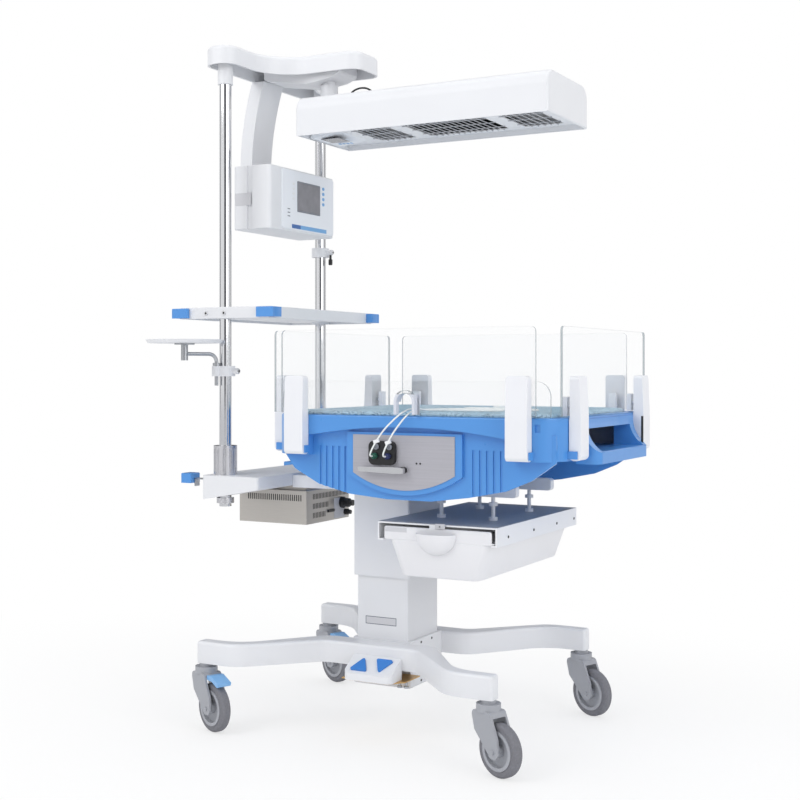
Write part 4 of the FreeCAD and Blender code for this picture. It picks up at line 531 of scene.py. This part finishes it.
COVER_SHEET, TROUGHS, PEDAL_FLOOR = 0.5637, 1.5765, 0.1502
cover_steel = two_tone("cover_steel", COVER_SHEET, colour(232, 233, 236),
                       colour(176, 177, 179), 0.0, 0.1, 0.48)
lining = two_tone("heater_lining", TROUGHS, colour(236, 237, 240), colour(34, 34, 37),
                  0.0, 0.6, 0.3)
pedal_shell = two_tone("pedal_shell", PEDAL_FLOOR, colour(208, 168, 110),
                       colour(232, 233, 236), 0.7, 0.0, 0.36)
mesh_wire = moulded("mesh_wire", colour(196, 197, 202), 0.3)
socket_metal = metal("socket_metal", colour(214, 214, 218), 0.24, (300, 300, 20))

# %% [markdown]
# Now every CAD node gets its finish from one list. The mesh itself stays as it is: only its
# material slot is filled. The four wheels need a finish each, because each has its own hub.

# %% Give every CAD node its finish
STEM_X, STEM_Y = 0.404, 0.306
FINISHES = {
    "base_block": painted_casting, "base_legs": painted_casting, "inner_column": painted_steel,
    "lift_motor": steel, "pedal_housing": pedal_shell, "pedal_raise": pad_blue,
    "pedal_lower": pad_blue, "column_sleeve": painted_steel, "lift_rod": steel,
    "cross_beam": white_plastic, "power_box": box_metal, "left_pole": chrome,
    "right_pole": chrome, "pole_sockets": socket_metal, "yoke": white_plastic,
    "controller_arm": white_plastic, "controller_housing": white_plastic,
    "controller_panel": film, "shelf": white_plastic, "bumpers": blue_plastic,
    "pole_clamps": white_plastic, "support_bars": painted_steel, "drawer_cover": cover_steel,
    "tray_arm": steel, "round_tray": white_plastic, "drawer": white_plastic,
    "heater_swivel": white_plastic, "heater_housing": white_plastic,
    "heater_reflector": lining, "heater_grilles": mesh_wire, "heater_element": quartz,
    "heater_display": film, "heater_cable": cable_black, "bassinet_hull": blue_plastic,
    "bed_deck": white_plastic, "control_plate": silver_plate, "bed_fittings": black_plastic,
    "tilt_handle": chrome, "front_panel": clear_front, "back_panel": clear_side,
    "head_panel": clear_end, "foot_panel": clear_end,
    **{f"{side}_levers": pale_lever for side in ("front", "back", "head", "foot")},
}
for corner, (x, y) in {"front_head": (-STEM_X, -STEM_Y), "front_foot": (STEM_X, -STEM_Y),
                       "back_head": (-STEM_X, STEM_Y), "back_foot": (STEM_X, STEM_Y)}.items():
    FINISHES[f"caster_fork_{corner}"] = grey_plastic
    FINISHES[f"caster_wheel_{corner}"] = wheel_finish(f"wheel_{corner}", x, y)
    if x < 0:
        FINISHES[f"brake_pedal_{corner}"] = brake_blue
for name, finish in FINISHES.items():
    node = nodes[name]
    node.data.materials.clear()
    node.data.materials.append(finish.material)
print(len(FINISHES), "CAD nodes have a finish")

# %% [markdown]
# The mattress is a foam pad in a wipe-clean cover: crowned on top, with sides that pull in
# between the corners and a welded seam round its edge. It is modelled directly as rings of a
# rounded rectangle, because its shape is simple and a simulation would only swell it. The
# crumpled film of the cover is a sine of a noise, which gives long thin folds. Its colour
# carries painted shade, dark along the folds, and painted sheen, lighter in broad patches.

# %% Mattress
cover = Finish("mattress_cover")
weave = cover.noise(1400, 2)
crease = cover.noise(14, 7)
# The fold mask shapes the bump and also paints shade: the cover darkens to deep blue along each
# fold.
fold_and_crease_shade = (crease * 46).wave().size()
# Painted sheen: the blue lightens in broad pale patches.
blue_and_sheen = cover.mix(cover.noise(7, 3), colour(132, 188, 216), colour(206, 226, 236))
cover.set(Base_Color=cover.mix(fold_and_crease_shade * 3.2, colour(52, 108, 142), blue_and_sheen),
          Roughness=0.3 + weave * 0.1, Normal=cover.bump(fold_and_crease_shade + weave * 0.05, 0.003, 0.8))
low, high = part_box("mattress")
centre, half = (low + high) / 2, (high - low) / 2


CORNER, SEAM_PULL, SIDE_BAND = 0.042, 0.0025, 0.02


def mattress_ring(bm, inset, level, per_side=14):
    """One loop of vertices round the mattress, with the long sides pulled in."""
    wide, deep = half.x - inset, half.y - inset
    spots = rounded_outline(wide, deep, max(CORNER - inset * 0.5, 0.004), 10)
    full = []
    for (x0, y0), (x1, y1) in zip(spots, spots[1:] + spots[:1]):
        count = per_side if math.hypot(x1 - x0, y1 - y0) > 0.1 else 1
        full += [(x0 + (x1 - x0) * k / count, y0 + (y1 - y0) * k / count) for k in range(count)]
    ring = []
    for x, y in full:
        pull = SEAM_PULL * (math.cos(math.pi * x / (2 * half.x)) * (abs(y) > deep - SIDE_BAND)
                            + math.cos(math.pi * y / (2 * half.y)) * (abs(x) > wide - SIDE_BAND))
        scale = 1 - pull / half.y
        ring.append(bm.verts.new((centre.x + x * scale, centre.y + y * scale, level)))
    return ring


insets_and_heights = [(0.010, 0.0), (0.002, 0.12), (0.0, 0.35), (0.0015, 0.5), (0.0015, 0.53),
                      (0.0, 0.66), (0.003, 0.86), (0.010, 0.95), (0.03, 0.985), (0.09, 1.0),
                      (0.18, 1.0)]
bm = bmesh.new()
tall = high.z - low.z
skin(bm, [mattress_ring(bm, inset, low.z + share * tall) for inset, share in insets_and_heights])
mattress = piece_from("mattress_pad", bm, "bed", cover, 60)
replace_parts(mattress, "mattress")
print("mattress", [round(2 * v, 3) for v in half])

# %% [markdown]
# The controller hangs on its arm, and its front is a film with a screen, four keys and a blue
# strip. These could be drawn in the material, but thin plates stand out as the real ones do
# and keep a sharp edge at any size. Each is sunk a hair, so that it joins the face behind it.

# %% Controller front
ALONG, ACROSS, UP = (1, 0, 0), (0, 1, 0), (0, 0, 1)
NEARWARD, FOOTWARD, DOWN = (0, -1, 0), (1, 0, 0), (0, 0, -1)
SINK = 0.0002
key_pale = moulded("key_pale", colour(120, 176, 226), 0.3)
print_grey = moulded("print_grey", colour(120, 124, 134), 0.4)
label_paper = moulded("label_paper", colour(206, 206, 210), 0.45)
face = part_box("controller_panel")[1].x


def plates(name, spots, across, up, body, finish, thick=0.0006, corner=0.001):
    """Several flat plates on one face as one piece. A spot is a centre, a width and a height."""
    bm = bmesh.new()
    for centre, wide, tall in spots:
        add_plate(bm, centre, across, up, wide, tall, thick, corner, steps=3)
    return piece_from(name, bm, body, finish)


def on_film(name, y, z, wide, tall, thick, corner, finish, sunk=SINK):
    return plate(name, (face - sunk, y, z), ACROSS, UP, wide, tall, thick, corner, "lift", finish)


def column_on_film(name, y, lowest, pitch, count, wide, tall, thick, corner, finish):
    spots = [((face - SINK, y, lowest + pitch * i), wide, tall) for i in range(count)]
    return plates(name, spots, ACROSS, UP, "lift", finish, thick, corner)


FILM_THICK = 0.003
SCREEN_Y, SCREEN_Z, SCREEN_WIDE, SCREEN_TALL, SCREEN_RIM = 0.0245, 1.415, 0.112, 0.078, 0.007
front = on_film("control_film", 0.024, 1.403, 0.268, 0.162, FILM_THICK, 0.007, film, FILM_THICK)
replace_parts(front, "controller_panel")
on_film("control_screen_rim", SCREEN_Y, SCREEN_Z, SCREEN_WIDE + SCREEN_RIM,
        SCREEN_TALL + SCREEN_RIM, 0.0012, 0.002, print_grey, 2 * SINK)
on_film("control_screen", SCREEN_Y, SCREEN_Z, SCREEN_WIDE, SCREEN_TALL, 0.0016, 0.001, screen)
column_on_film("control_keys", 0.101, 1.407, 0.0148, 4, 0.012, 0.009, 0.0012, 0.004, key_pale)
column_on_film("control_icons", -0.053, 1.407, 0.0135, 4, 0.010, 0.0065, 0.0009, 0.003,
               print_white)
column_on_film("control_marks", -0.077, 1.357, 0.0098, 3, 0.013, 0.0026, 0.0005, 0.001,
               print_grey)
STRIP_Z, STRIP_TALL = 1.331, 0.011
on_film("control_strip_dark", -0.040, STRIP_Z, 0.044, STRIP_TALL, 0.0006, 0.001, key_blue)
on_film("control_strip", 0.050, STRIP_Z, 0.136, STRIP_TALL, 0.0006, 0.001, key_pale)
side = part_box("controller_housing")[0].y
plate("controller_label", (-0.3875, side + SINK, 1.3975), ALONG, UP, 0.052, 0.034, 0.0006, 0.002,
      "lift", label_paper)
print("controller front at X", round(face, 4))

# %% [markdown]
# Screws show where parts come apart. A socket screw could be one cylinder with a dark spot,
# but its recess is painted shade, dark where the metal inside lies in shadow, so a turned head
# and a smaller dark solid for that shade sit one in the other, and one function sets both
# wherever a screw is seen.

# %% Screws and clamps
HEAD = [(0, 0), (1.0, 0), (1.0, 0.30), (0.92, 0.42), (0.5, 0.42), (0, 0.42)]
# The dark solid in each screw's recess is painted shade.
RECESS_SHADE = [(0, 0.36), (0.5, 0.36), (0.5, 0.44), (0, 0.44)]
SHELF_SCREW, BLOCK_SCREW = 0.0062, 0.0032


def screws(name, spots, direction, radius, body, head, recess_shade=black_plastic):
    """Screw heads at several spots, as one piece for the heads and one for the painted shade in
    their recesses.
    """
    for part, shape, finish in (("heads", HEAD, head), ("recess_shades", RECESS_SHADE, recess_shade)):
        scaled = [(r * radius, h * radius) for r, h in shape]
        bm = bmesh.new()
        for spot in spots:
            add_turned(bm, scaled, direction, spot, 16)
        piece_from(f"{name}_{part}", bm, body, finish)


shelf_low, shelf_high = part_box("shelf")
screws("shelf_screws", [(x, shelf_low.y + 0.0003, 1.086) for x in (-0.432, -0.374)], NEARWARD,
       SHELF_SCREW, "lift", chrome)
clamp_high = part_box("pole_clamps")[1].x
for name, y, z in (("left", -0.239, 0.933), ("right", 0.239, 1.284)):
    screws(f"{name}_clamp_screw", [(clamp_high - SINK, y, z)], FOOTWARD, SHELF_SCREW, "lift",
           chrome)
KNOB = [(0, 0), (0.0035, 0), (0.0035, 0.012), (0.006, 0.014), (0.006, 0.028), (0.0045, 0.030),
        (0, 0.030)]
turned("right_clamp_knob", KNOB, DOWN, (-0.357, 0.239, 1.277), "lift", black_plastic)
block_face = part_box("base_block")[1].x
screws("block_screws",
       [(block_face - SINK, y, z) for y in (-0.030, 0.031) for z in (0.1225, 0.2225)],
       FOOTWARD, BLOCK_SCREW, "base", black_plastic)

# %% [markdown]
# The column carries a bare label. A thick plate would scrape, because the sleeve slides down
# over it, so the label stays thinner than that gap. The pedal unit stands on two bolts.

# %% Column label and pedal bolts
column_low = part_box("inner_column")[0].y
LABEL_X, LABEL_Z, LABEL_WIDE, LABEL_TALL, LABEL_RIM = -0.005, 0.279, 0.088, 0.017, 0.004
for name, rim, thick, finish in (("column_label_rim", LABEL_RIM, 0.0002, print_grey),
                                 ("column_label", 0, 0.0003, label_paper)):
    plate(name, (LABEL_X, column_low + SINK / 2, LABEL_Z), ALONG, UP, LABEL_WIDE + rim,
          LABEL_TALL + rim, thick, 0.001, "base", finish)
BOLT = [(0, 0), (0.004, 0), (0.004, 0.012), (0.0065, 0.013), (0.0065, 0.018), (0, 0.018)]
BOLT_TOP = 0.1471
turned("pedal_bolt_left", BOLT, DOWN, (0.086, -0.150, BOLT_TOP), "base", steel)
turned("pedal_bolt_right", BOLT, DOWN, (0.104, -0.148, BOLT_TOP), "base", steel)
print("column label on Y", round(column_low, 4))

# %% [markdown]
# The sensor block has four sockets. Two hold the leads' plugs, and the two above them are
# empty, so their profile runs over a ring and down into it. Each lead has a folded white tag
# above its plug, a small plate that is slanted with the lead.

# %% Sensor sockets and tags
socket_grey = moulded("socket_grey", colour(128, 132, 140), 0.4)
block_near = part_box("bed_fittings")[0].y
SOCKET = [(0, 0), (0.0072, 0), (0.0072, 0.003), (0.0058, 0.0045), (0.0040, 0.0045),
          (0.0036, 0.0020), (0, 0.0020)]
SOCKET_HIGH, TAG_SLANT = 0.751, 0.35
for i, x in enumerate((0.116, 0.152)):
    turned(f"empty_socket_{i}", SOCKET, NEARWARD, (x, block_near + SINK, SOCKET_HIGH), "bed",
           socket_grey)
for i, (x, z) in enumerate(((0.1330, 0.7660), (0.1650, 0.7640))):
    plate(f"lead_tag_{i}", (x, -0.3532, z), (1, 0, TAG_SLANT), (-TAG_SLANT, 0, 1), 0.0150,
          0.0085, 0.0050, 0.0010, "bed", print_white)
plate_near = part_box("control_plate")[0].y
screws("plate_studs", [(x, plate_near + 0.0003, 0.713) for x in (0.2190, 0.2290)], NEARWARD,
       0.0024, "bed", black_plastic)

# %% [markdown]
# Blue bumpers wrap the shelf's four corners, and two more stand behind the beam on bent steel
# straps. A corner could be one bent outline, but two plates that meet are simpler, and the
# inner one is a hair smaller so that no two faces lie in one plane.

# %% Bumpers
ARM, DEEP, THIN, TALL, LIFT, HIDE = 0.032, 0.021, 0.0105, 0.026, 1.0740, 0.0006
BEAM_X, BEAM_Y, BEAM_Z, STRAP_Y, STRAP_THICK = -0.4995, 0.249, 0.634, 0.244, 0.003
bm = bmesh.new()
for x, sx in ((shelf_low.x, -1), (shelf_high.x, 1)):
    for y, sy in ((shelf_low.y, -1), (shelf_high.y, 1)):
        add_plate(bm, (x + sx * (DEEP - ARM) / 2, y + sy * THIN / 2, LIFT), ALONG, ACROSS,
                  DEEP + ARM, THIN, TALL, 0.003)
        add_plate(bm, (x + sx * (DEEP - HIDE) / 2, y + sy * (HIDE - ARM) / 2, LIFT + HIDE / 2),
                  ALONG, ACROSS, DEEP - HIDE, ARM + HIDE, TALL - HIDE, 0.0003)
for sy in (-1, 1):
    add_plate(bm, (BEAM_X, sy * BEAM_Y, BEAM_Z), ALONG, ACROSS, 0.033, 0.042, TALL, 0.003)
bumpers = piece_from("bumper_blocks", bm, "lift", blue_plastic)
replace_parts(bumpers, "bumpers")
bm = bmesh.new()
for sy in (-1, 1):
    add_plate(bm, (-0.4575, sy * STRAP_Y, 0.6435), ALONG, ACROSS, 0.054, 0.020, STRAP_THICK, 0.001)
    add_plate(bm, (-0.4830, sy * STRAP_Y, 0.6360), ACROSS, UP, 0.020, 0.022, STRAP_THICK, 0.001)
piece_from("bumper_straps", bm, "lift", steel)
print("bumpers at the shelf's corners", [round(v, 3) for v in (*shelf_low, *shelf_high)])

# %% [markdown]
# The power box is a folded steel case under the beam, with rows of cooling slots, two dark
# plugs and a short lever. The slots could be cut through, but nothing would show behind
# them, so they are dark inlays on one rounded case, painted shade for each slot's shadowed inside.

# %% Power box
low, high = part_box("power_box")
middle = (low + high) / 2
CASE_TOP, CASE_ROUND = 0.612, 0.003
bm = bmesh.new()
add_plate(bm, (middle.x, middle.y, low.z), ALONG, ACROSS, high.x - low.x, high.y - low.y,
          CASE_TOP - low.z, CASE_ROUND)
add_plate(bm, (middle.x, middle.y, CASE_TOP - 0.0005), ALONG, ACROSS, high.x - low.x - 0.02,
          high.y - low.y - 0.03, high.z - (CASE_TOP - 0.0005), CASE_ROUND)
case = piece_from("power_case", bm, "lift", box_metal)
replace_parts(case, "power_box")

# %% [markdown]
# The slots stand in even rows, so a row is a start, a pitch and a count. The end face has
# three rows, and the two lower ones stop early to leave room for the inlet.

# %% Cooling slots and plugs
# Painted shade: the dark of a cooling slot's shadowed inside.
slot_shade = moulded("slot_shade", colour(58, 56, 54), 0.5)
NEAR_START, NEAR_PITCH, END_START, END_PITCH = -0.406, 0.0068, -0.078, 0.0075
END_ROWS = ((25, 0.5935), (11, 0.5675), (9, 0.5425))
plates("power_slot_shades_near",
       [((NEAR_START + NEAR_PITCH * i, low.y + SINK, 0.5915), 0.0034, 0.017) for i in range(26)],
       ALONG, UP, "lift", slot_shade, 0.0006, 0.0012)
plates("power_slot_shades_end",
       [((high.x - SINK, END_START + END_PITCH * i, z), 0.0036, 0.015)
        for count, z in END_ROWS for i in range(count)],
       ACROSS, UP, "lift", slot_shade, 0.0006, 0.0012)
plate("power_inlet", (high.x - SINK, 0.060, 0.552), ACROSS, UP, 0.060, 0.056, 0.0012, 0.003,
      "lift", label_paper)
POWER_PLUG = [(0, 0), (0.016, 0), (0.016, 0.008), (0.0125, 0.011), (0.0125, 0.026),
              (0.0085, 0.030), (0.0085, 0.038), (0, 0.038)]
FUSE = [(0, 0), (0.0085, 0), (0.0085, 0.012), (0.006, 0.014), (0.006, 0.020), (0, 0.020)]
turned("power_plug", POWER_PLUG, FOOTWARD, (high.x, 0.070, 0.566), "lift", black_plastic)
turned("power_fuse", FUSE, FOOTWARD, (high.x, 0.088, 0.538), "lift", black_plastic)
plate("power_switch", (high.x, 0.012, 0.548), ACROSS, UP, 0.034, 0.008, 0.004, 0.002, "lift",
      black_plastic)
print("cooling slots", 26 + sum(count for count, _ in END_ROWS))

# %% [markdown]
# The heater head has a small display under its nose, where a nurse at the bed can read it,
# and three black screws along its top. They are separate plates and heads like those of the
# controller, but they ride on the heater, since it swings aside.

# %% Heater head
display_low, display_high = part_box("heater_display")
mid_x, under = (display_low.x + display_high.x) / 2, display_low.z
plate("heater_screen", (mid_x, -0.022, under + SINK), ALONG, NEARWARD, 0.056, 0.062, 0.0010,
      0.002, "heater", screen)
plates("heater_keys",
       [((mid_x - 0.018 + 0.012 * i, 0.034, under + SINK), 0.008, 0.012) for i in range(4)],
       ALONG, NEARWARD, "heater", key_pale, 0.0010, 0.003)
heater_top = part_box("heater_housing")[1].z
HEATER_SCREWS = ((0.057, -0.091), (0.224, -0.085), (0.435, -0.085))
screws("heater_screws", [(x, y, heater_top - 0.0004) for x, y in HEATER_SCREWS], UP, 0.0050,
       "heater", black_plastic)
print("heater display under Z", round(under, 4))

# %% [markdown]
# The drawer is a deep moulded tub that tapers downwards, hung by its rim on the lips of the
# cover's rails. It could be carved from a box, but a tub is a stack of rounded rectangles:
# up the outside, over the rim and down the inside. Each row below gives half the length, half
# the width, the height and the corner's radius of one of them.

# %% Drawer tub
drawer_white = moulded("drawer_white", colour(232, 232, 235), 0.36, 0.00005)
TUB_X, TUB_Y = 0.2525, -0.0095
RIM_UNDER, RIM_TOP = 0.5232, 0.5262
outside = [(0.0985, 0.2420, 0.4325, 0.016), (0.1050, 0.2485, 0.4345, 0.020),
           (0.1085, 0.2510, 0.4400, 0.022), (0.1340, 0.2568, 0.5150, 0.022),
           (0.1365, 0.2570, 0.5215, 0.022)]
rim = [(0.1475, 0.2560, RIM_UNDER, 0.010), (0.1475, 0.2560, RIM_TOP, 0.010)]
inside = [(0.1320, 0.2520, RIM_TOP, 0.020), (0.1045, 0.2450, 0.4420, 0.020),
          (0.1000, 0.2420, 0.4370, 0.018)]
bm = bmesh.new()
skin(bm, [[bm.verts.new((TUB_X + x, TUB_Y + y, level))
           for x, y in rounded_outline(half_x, half_y, corner, 6)]
          for half_x, half_y, level, corner in outside + rim + inside])
tub = piece_from("drawer_tub", bm, "drawer", drawer_white)
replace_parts(tub, "drawer")
wall_face, wall_thick = -0.2668, 0.0048
plate("drawer_front_wall", (0.2490, wall_face + wall_thick, 0.5375), ALONG, UP, 0.288, 0.033,
      wall_thick, 0.006, "drawer", drawer_white)
print("drawer rim at Z", RIM_UNDER, RIM_TOP)

# %% [markdown]
# The pull is a cup that stands out from the front wall and is open at the top, where fingers
# reach in. It is a quarter of an egg's shell: the same formula gives the outer skin and, a
# wall's thickness smaller, the inner one, and two strips close them into a solid.

# %% Cupped pull
def cup_skin(bm, centre, half, tall, out, steps, rows):
    """Rows of vertices from the open top down to the lowest point of the cup."""
    skin = []
    for row in range(rows + 1):
        down = math.pi / 2 * row / rows
        skin.append([])
        for i in range(steps + 1):
            turn = math.pi * i / steps
            skin[-1].append(bm.verts.new((centre[0] - half * math.cos(turn) * math.cos(down),
                                          centre[1] - out * math.sin(turn) * math.cos(down),
                                          centre[2] - tall * math.sin(down))))
    return skin


def cup(name, centre, wide, tall, out, thick, body, finish, steps=20, rows=8):
    bm = bmesh.new()
    outer, inner = (cup_skin(bm, centre, wide / 2 - inset, tall - inset, out - inset, steps, rows)
                    for inset in (0, thick))
    for skin in (outer, inner):
        for upper, lower in zip(skin, skin[1:]):
            for i in range(steps):
                bm.faces.new([upper[i], upper[i + 1], lower[i + 1], lower[i]])
    for i in range(steps):
        bm.faces.new([outer[0][i], outer[0][i + 1], inner[0][i + 1], inner[0][i]])
    for row in range(rows):
        for end in (0, -1):
            bm.faces.new([outer[row][end], outer[row + 1][end],
                          inner[row + 1][end], inner[row][end]])
    return piece_from(name, bm, body, finish, 50)


cup("drawer_pull", (0.2480, wall_face + SINK, 0.5420), 0.108, 0.052, 0.030, 0.003, "drawer",
    drawer_white)

# %% [markdown]
# A small latch on the cover's edge holds the drawer shut. It could be part of the drawer, but
# it is screwed to the cover, so it stays behind when the drawer slides out. The label beside
# it rides with the drawer.

# %% Latch, label and rail screws
LATCH_X, LATCH_Y, LATCH_Z, LATCH_THICK = 0.2590, -0.2662, 0.5600, 0.0030
plate("drawer_latch", (LATCH_X, LATCH_Y, LATCH_Z), ALONG, UP, 0.026, 0.013, LATCH_THICK, 0.001,
      "lift", label_paper)
screws("drawer_latch_screw", [(LATCH_X, LATCH_Y - LATCH_THICK, LATCH_Z)], NEARWARD, 0.0026,
       "lift", steel)
plate("drawer_label", (0.1380, wall_face + SINK, 0.5460), ALONG, UP, 0.060, 0.011, 0.0005,
      0.001, "drawer", label_paper)
rail_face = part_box("drawer_cover")[1].x
screws("rail_screws", [(rail_face - SINK, y, 0.5365) for y in (-0.196, -0.037, 0.119, 0.244)],
       FOOTWARD, 0.0034, "lift", black_plastic)
print("rail screws at X", round(rail_face, 4))

# %% [markdown]
# The studio is white all round. Polished metal needs something dark to mirror. Black cards on
# stands would also shade the white housings, so only rays that leave a glossy surface see a
# few dark bands in the world, upright at fixed compass bearings. They draw the dark lines
# down the poles.

# %% White world with dark screens for the chrome
world = bpy.data.worlds.new("Studio")
world.use_nodes = True
tree = world.node_tree
tree.nodes.clear()
output = tree.nodes.new("ShaderNodeOutputWorld")


def world_node(kind, settings=None, inputs=None):
    made = tree.nodes.new(kind)
    for key, value in (settings or {}).items():
        setattr(made, key, value)
    for key, value in (inputs or {}).items():
        if isinstance(value, bpy.types.NodeSocket):
            tree.links.new(value, made.inputs[key])
        else:
            made.inputs[key].default_value = value
    return made


def backdrop(tone, strength):
    inputs = {"Color": tone, "Strength": strength}
    return world_node("ShaderNodeBackground", inputs=inputs).outputs[0]


way = world_node("ShaderNodeTexCoord").outputs["Generated"]
bearing = world_node("ShaderNodeSeparateXYZ", inputs={0: way})
turn = world_node("ShaderNodeMath", {"operation": "ARCTAN2"},
                  {0: bearing.outputs["Y"], 1: bearing.outputs["X"]})
share = world_node("ShaderNodeMapRange", inputs={"Value": turn.outputs[0], "From Min": -math.pi,
                                                 "From Max": math.pi})
ramp = world_node("ShaderNodeValToRGB", inputs={0: share.outputs[0]})
screens = ramp.color_ramp
screens.interpolation = "EASE"
DARK_BEARINGS = [(-168, 7), (-60, 15), (46, 7), (118, 22)]
WHITE, DARK, FADE = (1, 1, 1, 1), (0.1, 0.1, 0.11, 1), 3
stops = [(0.0, WHITE), (1.0, WHITE)]
for middle, half_width in DARK_BEARINGS:
    for offset, tone in ((-half_width - FADE, WHITE), (-half_width, DARK),
                         (half_width, DARK), (half_width + FADE, WHITE)):
        stops.append(((middle + offset + 180) / 360, tone))
stops.sort()
for place, tone in stops[1:-1]:
    screens.elements.new(place).color = tone
for element, (place, tone) in zip(screens.elements, stops):
    element.color = tone
banded = backdrop(ramp.outputs[0], 0.95)
light_path = world_node("ShaderNodeLightPath").outputs
soft = backdrop((0.95, 0.96, 0.98, 1), 0.74)
seen = world_node("ShaderNodeMixShader",
                  inputs={0: light_path["Is Glossy Ray"], 1: soft, 2: banded})
plain = world_node("ShaderNodeMixShader", inputs={0: light_path["Is Camera Ray"],
                                                  1: seen.outputs[0], 2: backdrop(WHITE, 1.0)})
tree.links.new(plain.outputs[0], output.inputs["Surface"])
scene.world = world
print("dark bands at bearings", [middle for middle, _ in DARK_BEARINGS])

# %% [markdown]
# The floor is white too, and keeps only a faint soft shadow. A lit floor alone would be grey
# against the white behind it, so to the camera it glows plain white. Under the object a share
# of the lit floor is mixed in, and fades with the distance, so that no horizon shows.

# %% Floor
floor_paint = Finish("floor_paint")
floor_paint.set(Base_Color=(0.95, 0.95, 0.95, 1), Roughness=0.9)
flat = floor_paint.vector("MULTIPLY", floor_paint.place(), (0.7, 0.9, 0))
away = floor_paint.vector("LENGTH", flat)
glow = floor_paint.node("ShaderNodeEmission", {}, {"Color": (1, 1, 1, 1), "Strength": 1.0})
share = floor_paint.node("ShaderNodeMapRange", {"interpolation_type": "SMOOTHSTEP"},
                         {"Value": away, "From Min": 0.2, "From Max": 1.5,
                          "To Min": 0.62, "To Max": 1.0})
to_camera = floor_paint.node("ShaderNodeLightPath", output="Is Camera Ray")
lit = Value(floor_paint, floor_paint.surface.outputs[0])
mixed = floor_paint.node("ShaderNodeMixShader", {}, {0: share * to_camera, 1: lit, 2: glow})
floor_paint.tree.links.new(mixed.socket, floor_paint.output.inputs["Surface"])
bm = bmesh.new()
bmesh.ops.create_grid(bm, x_segments=2, y_segments=2, size=30)
mesh = bpy.data.meshes.new("floor")
bm.to_mesh(mesh)
bm.free()
mesh.materials.append(floor_paint.material)
floor = bpy.data.objects.new("floor", mesh)
floor.location.z = -0.0005
scene.collection.objects.link(floor)
print("floor at Z", floor.location.z)

# %% [markdown]
# Three large square lamps light the object from the left, the right and above. Small lamps
# would be cheaper but would throw hard shadows, and white plastic needs soft ones to show its
# shape without clipping.

# %% Lamps
AIM = (0, 0, 0.9)


def softbox(name, place, size, power):
    data = bpy.data.lights.new(name, "AREA")
    data.shape, data.size, data.energy = "SQUARE", size, power
    lamp = bpy.data.objects.new(name, data)
    lamp.location = place
    lamp.rotation_euler = (Vector(AIM) - Vector(place)).to_track_quat("-Z", "Y").to_euler()
    scene.collection.objects.link(lamp)


softbox("key", (-1.8, -3.6, 3.6), 2.6, 62)
softbox("fill", (3.8, -1.6, 2.4), 2.6, 44)
softbox("top", (0.2, 0.4, 4.2), 3.0, 26)
